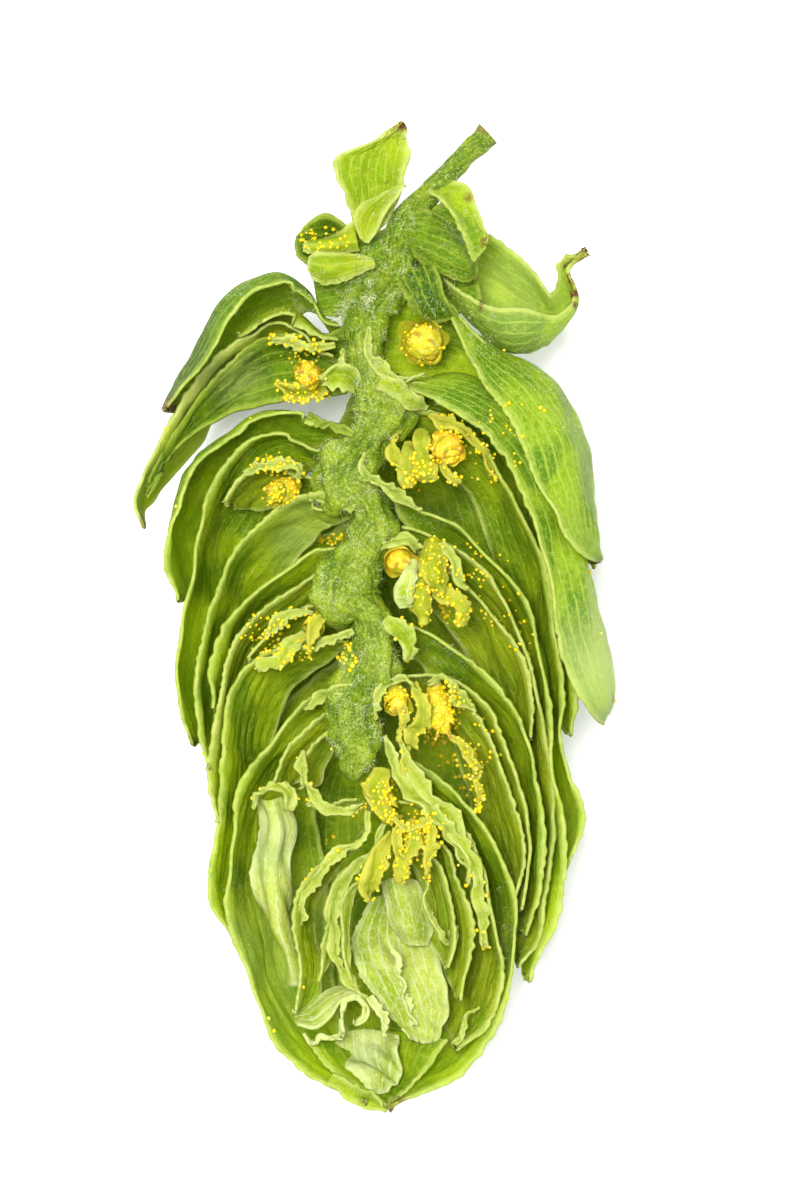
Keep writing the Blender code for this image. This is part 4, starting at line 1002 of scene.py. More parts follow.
FLAP_RELIEF = Relief(wave=0.13, wave_length=1.0, ragged=0.11, bulge=0.07, bulge_length=0.9,
                     wrinkle=0.035, wrinkle_length=0.45, vein=0.006)
FLAPS = (
    Flap("ridge_right_2", "bract_right_2", ((-0.3, 11.6, 0.6, 0.12), (-0.35, 10.7, 0.85, 0.2),
        (0.05, 10.0, 0.85, 0.24), (0.8, 9.6, 0.6, 0.2), (1.9, 9.55, 0.3, 0.1)), Tissue.LEAFLET, 0.1),
    Flap("ridge_right_3", "bract_right_3", ((0.1, 9.4, 0.9, 0.3), (0.7, 9.1, 1.0, 0.36),
        (1.4, 8.7, 0.8, 0.28), (2.0, 8.3, 0.4, 0.12)), Tissue.LEAFLET, -0.05),
    Flap("ridge_right_5", "bract_right_5", ((-0.5, 6.6, 0.85, 0.08), (-0.4, 5.7, 0.95, 0.18),
        (0.1, 5.25, 0.95, 0.24), (0.8, 4.9, 0.7, 0.22), (1.7, 4.35, 0.3, 0.12)), Tissue.LEAFLET, 0.1),
    Flap("ridge_left_3", "bract_left_3", ((-0.9, 7.3, 0.8, 0.15), (-1.4, 7.5, 0.7, 0.22),
        (-2.0, 7.8, 0.4, 0.2), (-2.8, 8.1, 0.2, 0.1)), Tissue.COLLAR, 0.1),
    Flap("ridge_left_5", "bract_left_5", ((-0.9, 4.3, 0.7, 0.2), (-1.3, 4.6, 0.6, 0.3),
        (-1.9, 4.6, 0.5, 0.25), (-2.7, 4.75, 0.2, 0.12)), Tissue.LEAFLET, 0.12),
    Flap("ridge_left_7", "bract_left_7", ((-0.9, -0.5, 0.7, 0.15), (-1.5, -0.8, 0.5, 0.22),
        (-2.2, -1.0, 0.3, 0.2), (-3.0, -1.15, 0.2, 0.1)), Tissue.LEAFLET, 0.1),
    Flap("ridge_left_8", "bract_left_8", ((-0.9, -2.7, 0.7, 0.15), (-1.5, -2.9, 0.5, 0.25),
        (-2.2, -3.2, 0.3, 0.22), (-2.9, -3.6, 0.15, 0.1)), Tissue.LEAFLET, 0.1),
    Flap("stump_leaf", "floret_left_1", ((-0.8, 9.3, 0.3, 0.3), (-1.3, 9.6, 0.9, 0.55),
        (-1.9, 9.55, 1.0, 0.35), (-2.15, 9.5, 0.9, 0.1)), Tissue.LEAFLET, 0.2, 0, 15.0),
    Flap("stump_tail", "floret_left_1", ((-1.3, 9.9, 0.8, 0.2), (-1.4, 10.3, 1.0, 0.14),
        (-1.3, 10.6, 0.9, 0.08)), Tissue.LEAFLET, 0.1),
    Flap("cup_left_1", "floret_left_1", ((-2.1, 9.3, -0.4, 0.35), (-2.8, 9.0, -0.2, 0.45),
        (-3.5, 9.1, 0.0, 0.35), (-4.0, 9.4, 0.0, 0.15)), Tissue.PERIANTH, 0.3, 40),
    Flap("edge_left_1", "floret_left_1", ((-1.7, 10.9, 0.2, 0.15), (-2.6, 10.7, 0.4, 0.22),
        (-3.5, 10.9, 0.3, 0.2), (-4.2, 11.1, 0.0, 0.1)), Tissue.LEAFLET, 0.1, 26),
    Flap("flap_right_2a", "floret_right_2", ((0.9, 7.4, 0.3, 0.12), (0.6, 6.9, 0.8, 0.2),
        (0.75, 6.3, 0.9, 0.28), (1.15, 5.9, 0.7, 0.15)), Tissue.PERIANTH, 0.2, 8),
    Flap("flap_right_2b", "floret_right_2", ((1.3, 7.0, 0.5, 0.15), (1.2, 6.4, 0.9, 0.25),
        (1.25, 5.8, 0.9, 0.28), (1.3, 5.3, 0.7, 0.22)), Tissue.PERIANTH, -0.1, 34),
    Flap("flap_right_2c", "floret_right_2", ((1.8, 7.5, 0.6, 0.2), (1.7, 6.8, 1.1, 0.32),
        (1.8, 6.1, 1.1, 0.38), (2.0, 5.45, 0.8, 0.3)), Tissue.PERIANTH, -0.15, 34),
    Flap("flap_right_2d", "floret_right_2", ((2.5, 6.3, 0.5, 0.15), (2.7, 5.8, 0.7, 0.2),
        (2.9, 5.5, 0.6, 0.2), (3.15, 5.35, 0.4, 0.12)), Tissue.PERIANTH, 0.1, 16),
    Flap("flap_right_2e", "floret_right_2", ((2.1, 8.1, 0.2, 0.12), (3.0, 7.8, 0.6, 0.3),
        (3.7, 7.2, 0.5, 0.25), (4.3, 6.4, 0.2, 0.2), (4.8, 5.8, -0.2, 0.1)), Tissue.PERIANTH, 0.15, 46),
    Flap("sheath_right_3", "floret_right_3", ((0.0, 2.8, 0.3, 0.15), (0.5, 3.0, 0.7, 0.2),
        (1.2, 3.1, 0.8, 0.22), (1.6, 2.7, 0.6, 0.12)), Tissue.LEAFLET, 0.15),
    Flap("flap_right_3a", "floret_right_3", ((1.5, 2.3, 1.0, 0.12), (1.25, 1.6, 1.5, 0.3),
        (1.0, 1.0, 1.5, 0.4), (0.95, 0.45, 1.2, 0.22)), Tissue.PALE, -0.15),
    Flap("flap_right_3b", "floret_right_3", ((1.6, 2.0, 0.8, 0.2), (1.7, 1.2, 1.1, 0.4),
        (1.7, 0.5, 1.0, 0.42), (1.8, -0.2, 0.7, 0.12)), Tissue.PERIANTH, -0.2, 20),
    Flap("flap_right_3c", "floret_right_3", ((2.3, 3.2, 0.5, 0.3), (2.2, 2.5, 1.2, 0.45),
        (2.3, 1.7, 1.4, 0.4), (2.6, 0.95, 1.1, 0.25)), Tissue.PERIANTH, -0.3, 30),
    Flap("flap_right_3d", "floret_right_3", ((2.6, 3.0, 0.6, 0.15), (3.0, 2.3, 1.0, 0.28),
        (3.2, 1.7, 0.8, 0.25), (3.6, 1.3, 0.5, 0.15)), Tissue.LEAFLET, 0.1, 10),
    Flap("flap_right_3e", "floret_right_3", ((2.3, 1.1, 0.7, 0.2), (2.9, 0.8, 0.9, 0.35),
        (3.3, 0.4, 0.8, 0.35), (3.3, -0.3, 0.5, 0.2)), Tissue.PERIANTH, -0.1, 30),
    Flap("node_flap_right_6", "bract_right_6", ((0.35, 0.0, 0.9, 0.2), (0.9, -0.6, 1.0, 0.5),
        (1.3, -1.2, 0.9, 0.35), (1.35, -1.65, 0.7, 0.12)), Tissue.LEAFLET, 0.05, 8),
    Flap("sheath_right_4a", "floret_right_4", ((0.5, -2.5, 0.5, 0.2), (0.1, -2.9, 0.9, 0.22),
        (-0.1, -3.5, 0.9, 0.2), (-0.1, -4.0, 0.7, 0.08)), Tissue.LEAFLET, 0.12),
    Flap("sheath_right_4b", "floret_right_4", ((0.5, -2.6, 0.5, 0.15), (1.1, -2.5, 0.8, 0.2),
        (1.6, -2.9, 0.7, 0.12)), Tissue.LEAFLET, 0.12),
    Flap("flap_right_4c", "floret_right_4", ((1.5, -2.6, 0.6, 0.15), (1.7, -3.4, 1.0, 0.3),
        (1.7, -4.2, 1.0, 0.3), (1.35, -5.0, 0.6, 0.15)), Tissue.PERIANTH, 0.15, 14),
    Flap("flap_right_4d", "floret_right_4", ((0.9, -3.3, 1.0, 0.15), (1.1, -3.9, 1.1, 0.18),
        (1.0, -4.5, 0.9, 0.14), (0.9, -4.9, 0.7, 0.06)), Tissue.PERIANTH, -0.05, 12),
    Flap("tail_right_4", "floret_right_4", ((1.3, -4.9, 0.4, 0.1), (1.2, -5.6, 0.6, 0.14),
        (1.25, -6.4, 0.5, 0.16), (1.6, -7.4, 0.2, 0.1)), Tissue.PERIANTH, 0.08, 20),
    Flap("sheath_right_5", "floret_right_5", ((2.1, -2.6, 0.5, 0.15), (2.7, -2.5, 0.9, 0.25),
        (3.2, -3.0, 0.7, 0.25), (3.9, -3.7, 0.3, 0.12)), Tissue.LEAFLET, 0.1, 8),
    Flap("tail_right_5", "floret_right_5", ((2.9, -4.7, 0.5, 0.12), (3.4, -5.1, 0.7, 0.25),
        (3.9, -5.6, 0.6, 0.25), (4.0, -6.5, 0.3, 0.2), (4.1, -7.6, 0.0, 0.12)), Tissue.PERIANTH, 0.1, 44),
    Flap("curl_left_2", "floret_left_2", ((-5.3, 5.8, -0.2, 0.15), (-4.4, 6.1, 0.3, 0.22),
        (-3.5, 6.2, 0.5, 0.2), (-3.1, 5.9, 0.5, 0.16), (-3.2, 5.55, 0.4, 0.1)), Tissue.LEAFLET, 0.1, 30),
    Flap("flap_left_2", "floret_left_2", ((-3.7, 5.2, 0.3, 0.25), (-4.1, 5.0, 0.7, 0.32),
        (-4.3, 4.8, 0.5, 0.2)), Tissue.PERIANTH, -0.1, 20),
    Flap("flap_left_3a", "floret_left_3", ((-2.1, 0.1, 0.4, 0.15), (-2.5, -0.3, 0.8, 0.3),
        (-2.6, -0.9, 0.8, 0.18), (-2.65, -1.45, 0.5, 0.1)), Tissue.PERIANTH, 0.1, 18),
    Flap("flap_left_3b", "floret_left_3", ((-2.6, 0.2, 0.3, 0.12), (-3.3, 0.3, 0.6, 0.2),
        (-3.9, -0.1, 0.4, 0.22), (-4.4, -0.7, 0.1, 0.12)), Tissue.LEAFLET, 0.1, 26),
    Flap("flap_left_3c", "floret_left_3", ((-2.9, -0.6, 0.2, 0.12), (-3.4, -1.2, 0.5, 0.28),
        (-4.0, -1.7, 0.4, 0.3), (-4.8, -1.9, 0.1, 0.12)), Tissue.LEAFLET, -0.05, 30),
    Flap("flap_tip_1a", "floret_tip_1", ((0.2, -6.0, 0.5, 0.3), (0.1, -6.7, 0.9, 0.4),
        (0.2, -7.4, 0.8, 0.3), (0.6, -8.1, 0.5, 0.15)), Tissue.PERIANTH, -0.1, 44),
    Flap("flap_tip_1b", "floret_tip_1", ((-0.6, -6.6, 0.5, 0.08), (-0.3, -6.9, 0.7, 0.2),
        (0.1, -7.2, 0.6, 0.14)), Tissue.PERIANTH, 0.1, 10),
    Flap("flap_tip_1c", "floret_tip_1", ((0.6, -7.8, 0.6, 0.12), (1.1, -8.3, 0.8, 0.18),
        (1.7, -8.1, 0.8, 0.2), (2.4, -8.2, 0.5, 0.12)), Tissue.PERIANTH, 0.1, 30),
    Flap("flap_tip_2a", "floret_tip_2", ((0.6, -8.6, 0.7, 0.2), (0.2, -9.3, 1.0, 0.32),
        (-0.1, -10.2, 0.9, 0.4), (-0.3, -11.2, 0.5, 0.1)), Tissue.PERIANTH, 0.2, 14),
    Flap("flap_tip_2b", "floret_tip_2", ((0.8, -8.4, 0.8, 0.2), (0.8, -9.0, 1.1, 0.25),
        (0.95, -9.5, 1.0, 0.18), (1.05, -9.9, 0.8, 0.06)), Tissue.PERIANTH, 0.12, 10),
    Flap("flap_tip_2c", "floret_tip_2", ((1.5, -8.4, 0.8, 0.2), (1.5, -9.0, 1.1, 0.28),
        (1.2, -9.7, 1.0, 0.26), (0.85, -10.5, 0.7, 0.1)), Tissue.PERIANTH, -0.1, 26),
    Flap("flap_tip_2d", "floret_tip_2", ((2.1, -8.2, 0.7, 0.25), (2.2, -8.9, 0.9, 0.3),
        (2.1, -9.6, 0.8, 0.22), (1.95, -10.3, 0.5, 0.08)), Tissue.PERIANTH, 0.1, 30),
    Flap("loop_left_tip", "bracteole_left_7", ((-2.95, -5.3, 0.2, 0.1), (-2.95, -6.3, 0.4, 0.2),
        (-2.3, -7.3, 0.5, 0.24), (-1.3, -7.75, 0.4, 0.2), (-0.5, -7.5, 0.2, 0.1)), Tissue.LEAFLET, 0.1,
        14),
    Flap("strip_middle_a", "bract_right_8", ((0.9, -4.8, 0.5, 0.12), (1.4, -6.0, 0.7, 0.25),
        (2.2, -7.2, 0.7, 0.3), (3.1, -8.3, 0.5, 0.32), (3.8, -9.8, 0.3, 0.28), (4.2, -11.4, 0.0, 0.22),
        (4.3, -13.2, -0.2, 0.1)), Tissue.LEAFLET, 0.1, 14),
    Flap("strip_middle_b", "bracteole_right_4", ((0.3, -4.7, 0.5, 0.1), (0.6, -5.9, 0.7, 0.2),
        (1.3, -6.9, 0.8, 0.26), (2.3, -7.8, 0.7, 0.28), (3.2, -9.0, 0.4, 0.25), (3.7, -10.6, 0.1, 0.12)),
        Tissue.LEAFLET, 0.12, 10, 20.0),
    Flap("folded_top", "folded_bracteole", ((-4.95, -7.6, 0.0, 0.1), (-4.6, -7.0, 0.2, 0.22),
        (-4.0, -6.75, 0.3, 0.3), (-3.5, -6.95, 0.3, 0.3), (-3.5, -7.6, 0.1, 0.12)), Tissue.LEAFLET, 0.12,
        6),
    Flap("strip_left_tip", "bracteole_left_8", ((-0.35, -7.7, 0.5, 0.15), (-0.5, -8.4, 0.6, 0.2),
        (-1.3, -9.3, 0.4, 0.22), (-2.3, -10.2, 0.1, 0.22), (-3.0, -11.2, -0.2, 0.2),
        (-3.15, -12.3, -0.4, 0.1)), Tissue.LEAFLET, 0.08),
    Flap("strip_inner_tip", "bracteole_left_9", ((0.3, -8.2, 0.3, 0.12), (-0.2, -9.2, 0.3, 0.2),
        (-1.0, -10.1, 0.1, 0.28), (-1.6, -11.2, -0.1, 0.28), (-1.75, -12.5, -0.3, 0.25),
        (-1.5, -13.8, -0.5, 0.22), (-0.9, -14.8, -0.7, 0.2), (-0.2, -15.8, -0.8, 0.15)), Tissue.LEAFLET,
        0.1),
    Flap("ring_tip_a", "rolled_bracteole", ((-1.3, -16.6, -0.6, 0.08), (-1.35, -16.0, -0.5, 0.1),
        (-0.95, -15.45, -0.5, 0.1), (-0.6, -15.8, -0.5, 0.1), (-0.9, -16.3, -0.6, 0.06)), Tissue.PALE,
        0.03, 0, 60.0),
    Flap("ring_tip_b", "rolled_bracteole", ((-3.0, -16.7, -0.7, 0.06), (-2.7, -17.2, -0.7, 0.1),
        (-1.9, -16.9, -0.7, 0.1), (-1.4, -16.3, -0.7, 0.06)), Tissue.PALE, 0.03, 0, 60.0),
    Flap("strip_mid_tip_a", "inner_bracteole_large", ((-0.3, -15.2, -0.7, 0.2), (0.1, -15.9, -0.6, 0.25),
        (0.3, -16.8, -0.7, 0.18)), Tissue.PALE, 0.1),
    Flap("strip_mid_tip_b", "inner_bracteole_large", ((0.4, -13.0, -0.9, 0.1), (0.8, -14.2, -0.7, 0.14),
        (1.2, -15.4, -0.7, 0.14), (1.4, -16.4, -0.8, 0.08)), Tissue.PALE, 0.08, 0, 40.0),
    Flap("strip_right_tip_a", "bracteole_right_6", ((1.95, -9.9, 0.0, 0.08), (2.05, -11.0, -0.1, 0.12),
        (2.3, -12.2, -0.3, 0.14), (2.6, -13.0, -0.5, 0.14), (3.0, -13.1, -0.6, 0.14),
        (3.1, -12.3, -0.5, 0.08)), Tissue.LEAFLET, 0.05, 0, 30.0),
    Flap("curl_right_tip", "bract_right_8", ((4.1, -15.6, -0.6, 0.06), (3.6, -16.0, -0.4, 0.12),
        (3.3, -16.6, -0.4, 0.2), (3.1, -17.1, -0.5, 0.12)), Tissue.LEAFLET, 0.08, 0, 20.0),
    Flap("tip_seam", "bract_left_8", ((-1.9, -18.4, -0.1, 0.3), (-1.1, -18.9, -0.15, 0.35),
        (-0.3, -19.3, -0.2, 0.32), (0.4, -19.7, -0.25, 0.1)), Tissue.BRACT, 0.2),
)


def flap_patch(flap: Flap) -> Patch:
    """Return a flap as a freely curved leaf."""
    line, width = np.split(np.asarray(flap.line, dtype=float), [3], axis=1)
    way = unit(np.gradient(line, axis=0))
    side = unit(np.cross(way, (0.0, 0.0, 1.0)))
    up = unit(np.cross(side, way))
    turn = radians(flap.turn)
    tilted = side * np.cos(turn) + up * np.sin(turn)
    raised = (up * np.cos(turn) - side * np.sin(turn)) * flap.cup
    rows = np.stack((line - tilted * width + raised, line, line + tilted * width + raised), axis=1)
    return Patch(flap.name, rows, flap.tissue, flap.stands_for, FLAP_RELIEF)


ROOT_INSET = 0.5         # how far a blade's base runs on into the strig
FLANGE_REACH = 0.3       # the bent part of a cut edge fades over this length
BLADE_GRID = (104, 44)   # points along and across a blade
PATCH_GRID = (64, 44)    # the same for a freely curved leaf
FLAP_GRID = (40, 20)
BEAD_SIZE = 0.072        # the radius of a gland on the edge of a flap
BEADS_KEPT = 0.75        # the share of the glands meant for a flap that is set
RIM_GAP = 0.02           # a point nearer to an edge than this is on it
BARE_BASE = 0.3          # no gland stands nearer to a flap's base
ROOT_PULL = 1.2          # how strongly a blade's base turns towards the axis
BLADE_RELIEF = Relief()
BACK_RELIEF = Relief(wave=0.08, ragged=0.05, bulge=0.08)


@dataclass
class Foothold:
    """A place on a surface: the point and the way out of it, in metres."""

    point: Vector
    out: Vector


@dataclass
class Kit:
    """What the builders share.

    Attributes:
        materials: Materials by name.
        pieces: The finished pieces.
        beads: Places for glands along the edges of flaps, with their radius in millimetres.
    """

    materials: dict[str, bpy.types.Material] = field(default_factory=dict)
    pieces: list[bpy.types.Object] = field(default_factory=list)
    beads: list[tuple[Foothold, float]] = field(default_factory=list)

    def keep(self, piece: bpy.types.Object, slot: str, *nodes: str) -> bpy.types.Object:
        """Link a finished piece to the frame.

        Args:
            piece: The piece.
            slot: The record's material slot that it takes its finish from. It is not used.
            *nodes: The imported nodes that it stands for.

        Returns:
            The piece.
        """
        bpy.context.scene.collection.objects.link(piece)
        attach(piece, "root")
        if nodes:
            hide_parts(*nodes)
        self.pieces.append(piece)
        log.info("%s: %d faces", piece.name, len(piece.data.polygons))
        return piece


def grid_faces(shape: bmesh.types.BMesh, points: np.ndarray, leaf: np.ndarray, marks: np.ndarray,
               flip: bool = False, wrap: bool = False) -> None:
    """Add a sheet of faces through a net of points.

    Args:
        shape: The mesh to add to.
        points: Points in millimetres, by place along and across.
        leaf: The leaf values of each point.
        marks: The marks of each point.
        flip: Whether the faces point the other way.
        wrap: Whether the first and last points across are the same.
    """
    leaf_layer = shape.verts.layers.float_vector.get("leaf")
    marks_layer = shape.verts.layers.float_vector.get("marks")
    rows, columns = points.shape[:2]
    vertices = bmesh.ops.create_grid(shape, x_segments=rows - 1, y_segments=columns - 1,
                                     size=0.5)["verts"]
    for vertex in vertices:
        i = round((vertex.co.x + 0.5) * (rows - 1))
        j = round((vertex.co.y + 0.5) * (columns - 1))
        vertex.co = Vector(points[i, j]) * MM
        vertex[leaf_layer] = leaf[i, j]
        vertex[marks_layer] = marks[i, j]
    if flip:
        faces = list({face for vertex in vertices for face in vertex.link_faces})
        bmesh.ops.reverse_faces(shape, faces=faces)
    if wrap:
        bmesh.ops.remove_doubles(shape, verts=vertices, dist=SAME_PLACE)


def new_shape() -> bmesh.types.BMesh:
    """Return an empty mesh that carries the leaf values and the marks."""
    shape = bmesh.new()
    shape.verts.layers.float_vector.new("leaf")
    shape.verts.layers.float_vector.new("marks")
    return shape


def to_object(shape: bmesh.types.BMesh, name: str,
              materials: Iterable[bpy.types.Material]) -> bpy.types.Object:
    """Turn a mesh into a smooth object with its materials."""
    mesh = bpy.data.meshes.new(name)
    shape.to_mesh(mesh)
    shape.free()
    for material in materials:
        mesh.materials.append(material)
    mesh.shade_smooth()
    return bpy.data.objects.new(name, mesh)


@dataclass(frozen=True)
class Spot:
    """A brown or a pale place on a leaf.

    Attributes:
        piece: The leaf's name.
        x: Its place to the right.
        y: Its place along the cone.
        radius: How far it spreads.
        strength: How brown or pale it is.
    """

    piece: str
    x: float
    y: float
    radius: float
    strength: float = 1.0


BROWN_SPOTS = (
    Spot("crown_leaf", 0.95, 19.7, 0.45), Spot("crown_leaf", -0.4, 17.9, 0.14),
    Spot("crown_leaf", 0.4, 17.4, 0.10), Spot("hooded_bract_right", 4.4, 15.0, 0.5),
    Spot("hooded_bract_right", 3.6, 16.7, 0.3, 0.7), Spot("basal_bract_right", 8.4, 14.6, 0.8),
    Spot("basal_bract_right", 7.62, 14.2, 0.3, 1.2), Spot("basal_bract_right", 7.85, 13.6, 0.32, 1.4),
    Spot("basal_bract_right", 7.98, 13.0, 0.3, 1.4), Spot("basal_bract_right", 7.95, 12.5, 0.25, 1.2),
    Spot("basal_bract_right", 4.1, 12.35, 0.22), Spot("bract_left_1", -8.6, 8.3, 1.1),
    Spot("bract_left_2", -9.5, 3.7, 0.5, 0.6), Spot("bract_right_1", 8.9, 2.1, 0.5),
    Spot("bract_right_2", 9.6, -3.2, 0.4), Spot("bract_left_4", -7.6, -5.1, 0.5, 0.8),
    Spot("bract_left_7", -5.8, -12.7, 0.5, 0.8), Spot("bract_right_8", 0.7, -19.5, 0.7),
    Spot("bract_left_8", -0.6, -19.2, 0.6, 0.7), Spot("bract_left_5", -6.7, -6.1, 0.4, 0.7),
)
PALE_SPOTS = (
    Spot("bract_left_2", -6.5, 9.0, 3.5, 0.35), Spot("face_left_2", -5.6, 9.7, 1.8, 0.35),
    Spot("bract_right_2", 9.0, -2.0, 3.4, 0.65), Spot("bract_left_5", -3.0, 3.4, 2.4, 0.3),
    Spot("basal_bract_right", 5.4, 13.2, 4.5, 0.3), Spot("bract_left_8", -4.2, -13.5, 5.0, 0.25),
    Spot("bract_right_8", 3.4, -14.5, 4.5, 0.25), Spot("tip_bracteole", -0.4, -17.6, 1.4, 0.4),
    Spot("folded_bracteole", -4.3, -9.0, 2.0, 0.3),
)


def marked(name: str, sheet: Sheet) -> Sheet:
    """Give a sheet its brown places, which are firm, and its pale ones, which fade away."""
    for channel, (firmness, spots) in enumerate(((1.25, BROWN_SPOTS), (1.0, PALE_SPOTS))):
        for spot in spots:
            if spot.piece == name:
                gap = np.hypot(sheet.points[..., 0] - spot.x, sheet.points[..., 1] - spot.y)
                amount = spot.strength * smoothstep(firmness * (1.0 - gap / spot.radius))
                sheet.marks[..., channel] = np.maximum(sheet.marks[..., channel], amount)
    return sheet


def add_leaf(kit: Kit, name: str, smooth: np.ndarray, tissue: Tissue, hollow_side: Sequence[float],
             relief: Relief, stands_for: str) -> bpy.types.Object:
    """Add a leaf as a thin closed sheet.

    Args:
        kit: What the builders share.
        name: The leaf's name.
        smooth: Points of its smooth outer face, by place along and across.
        tissue: What it is made of.
        hollow_side: A point on its hollow side.
        relief: How uneven it is.
        stands_for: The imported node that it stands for.

    Returns:
        The leaf.
    """
    slot, outer, inner = tissue.value
    normal = np.cross(np.gradient(smooth, axis=0), np.gradient(smooth, axis=1))
    flip = float((normal * (smooth - np.asarray(hollow_side))).sum()) < 0.0
    sheet = marked(name, roughened(name, smooth, relief))
    sheet.points[..., 2] = np.maximum(sheet.points[..., 2], 0.0)
    shape = new_shape()
    grid_faces(shape, sheet.points, sheet.leaf, sheet.marks, flip)
    piece = to_object(shape, f"{name}_leaf", (kit.materials[outer.name], kit.materials[inner.name]))
    wall = piece.modifiers.new("wall", "SOLIDIFY")
    wall.thickness = LEAF_THICKNESS * MM
    wall.offset = -1.0
    wall.material_offset = 1
    wall.material_offset_rim = 1
    return kit.keep(piece, slot, stands_for)


def inset_section(section: Sequence, inset: float) -> np.ndarray:
    """Return a section whose base runs on towards the strig by a length."""
    line = np.asarray(section, dtype=float)
    back = unit(line[0] - line[1])
    back = unit(back + np.array((np.sign(CONE_AXIS_X - line[0, 0]) * ROOT_PULL, 0.0)))
    return np.vstack((line[0] + back * inset, line))


def add_blade(kit: Kit, blade: Blade) -> bpy.types.Object:
    """Add a blade that wraps the cone's axis."""
    section = inset_section(blade.section, ROOT_INSET)
    low, high = (radians(edge) for edge in blade.reach)
    along = np.linspace(0.0, 1.0, BLADE_GRID[0])
    across = np.linspace(0.0, 1.0, BLADE_GRID[1])
    line = smooth_path(section, along)
    share = blade_share(along, blade.full, blade.root)
    angle = share[:, None] * (low + (high - low) * across[None, :])
    radius = (line[:, 0] - CONE_AXIS_X)[:, None] + 0.0 * angle
    smooth = on_cone(radius, line[:, 1][:, None] + 0.0 * angle, angle)
    way = unit(np.gradient(line, axis=0))
    outward = np.stack((-way[:, 1], way[:, 0]), axis=1)
    outward *= np.sign(outward[:, :1] * np.sign(radius[:, :1]) + 0.35 * outward[:, 1:])
    length = np.concatenate(([0.0], np.cumsum(np.linalg.norm(np.diff(line, axis=0), axis=1))))
    uneven = 0.85 + 0.6 * Ripple(seed_of(blade.name, 9), 4.5).over(length)
    uneven = np.maximum(uneven, 0.1)
    taper = smoothstep(length / 1.5) * smoothstep((length[-1] - length) / 1.5)
    inward = np.abs(radius) * (angle - angle[:, :1])
    bend = blade.flange * (uneven * taper)[:, None] * np.exp(-inward / FLANGE_REACH)
    smooth[..., :2] += outward[:, None, :] * bend[..., None]
    middle = section[len(section) // 2]
    hollow = (CONE_AXIS_X, middle[1] - 3.0, CUT_Z)
    return add_leaf(kit, blade.name, smooth, blade.tissue, hollow, BLADE_RELIEF, blade.name)


def add_back_bract(kit: Kit, number: int, section: Sequence,
                   reach: tuple[float, float]) -> bpy.types.Object:
    """Add one bract of the underside, whose edges stand at two angles from the cut plane."""
    section = np.asarray(section, dtype=float)
    middle, half = radians(sum(reach) / 2.0), radians((reach[1] - reach[0]) / 2.0)
    along = np.linspace(0.0, 1.0, BLADE_GRID[0])
    across = np.linspace(-1.0, 1.0, BLADE_GRID[1])
    line = smooth_path(section, along)
    share = blade_share(along, 0.65, BACK_ROOT, BACK_WIDENED)
    angle = middle + half * share[:, None] * across[None, :]
    smooth = on_cone(line[:, 0][:, None] + 0.0 * angle, line[:, 1][:, None] + 0.0 * angle, angle)
    name = f"bract_back_{number}"
    hollow = (CONE_AXIS_X, section[len(section) // 2][1] - 3.0, CUT_Z)
    return add_leaf(kit, name, smooth, Tissue.BRACT, hollow, BACK_RELIEF, name)


def add_patch(kit: Kit, patch: Patch, grid: tuple[int, int] = PATCH_GRID,
              beads: int = 0) -> bpy.types.Object:
    """Add a freely curved leaf.

    Args:
        kit: What the builders share.
        patch: The leaf.
        grid: Points along and across it.
        beads: How many glands are meant for its edges.

    Returns:
        The leaf.
    """
    rows = np.asarray(patch.rows, dtype=float)
    lengthwise = smooth_path(rows, np.linspace(0.0, 1.0, grid[0]))
    across = np.linspace(0.0, 1.0, grid[1])
    smooth = np.stack([smooth_path(row, across) for row in lengthwise])
    smooth[..., 2] += CUT_Z
    hollow = smooth.reshape(-1, 3).mean(axis=0) + (0.0, 0.0, 3.0)
    piece = add_leaf(kit, patch.name, smooth, patch.tissue, hollow, patch.relief,
                     patch.stands_for or patch.name)
    add_beads(kit, piece, beads, seed_of(patch.name, 11))
    return piece


def add_beads(kit: Kit, piece: bpy.types.Object, count: int, seed: int) -> None:
    """Choose places for glands along the edges and the far end of a leaf."""
    chance = np.random.RandomState(seed)
    leaf = piece.data.attributes["leaf"].data
    rim = [vertex.co.copy() for vertex in piece.data.vertices
           if leaf[vertex.index].vector.z < RIM_GAP and leaf[vertex.index].vector.x > BARE_BASE]
    for _ in range(int(BEADS_KEPT * count) if rim else 0):
        point = rim[chance.randint(len(rim))]
        jitter = Vector(chance.normal(scale=0.05 * MM, size=3))
        out = Vector(chance.normal(scale=0.5, size=3)) + Vector((0.0, 0.0, 1.0))
        kit.beads.append((Foothold(point + jitter, out.normalized()), BEAD_SIZE))


# ------------------------------------------------------------------------ strig and florets


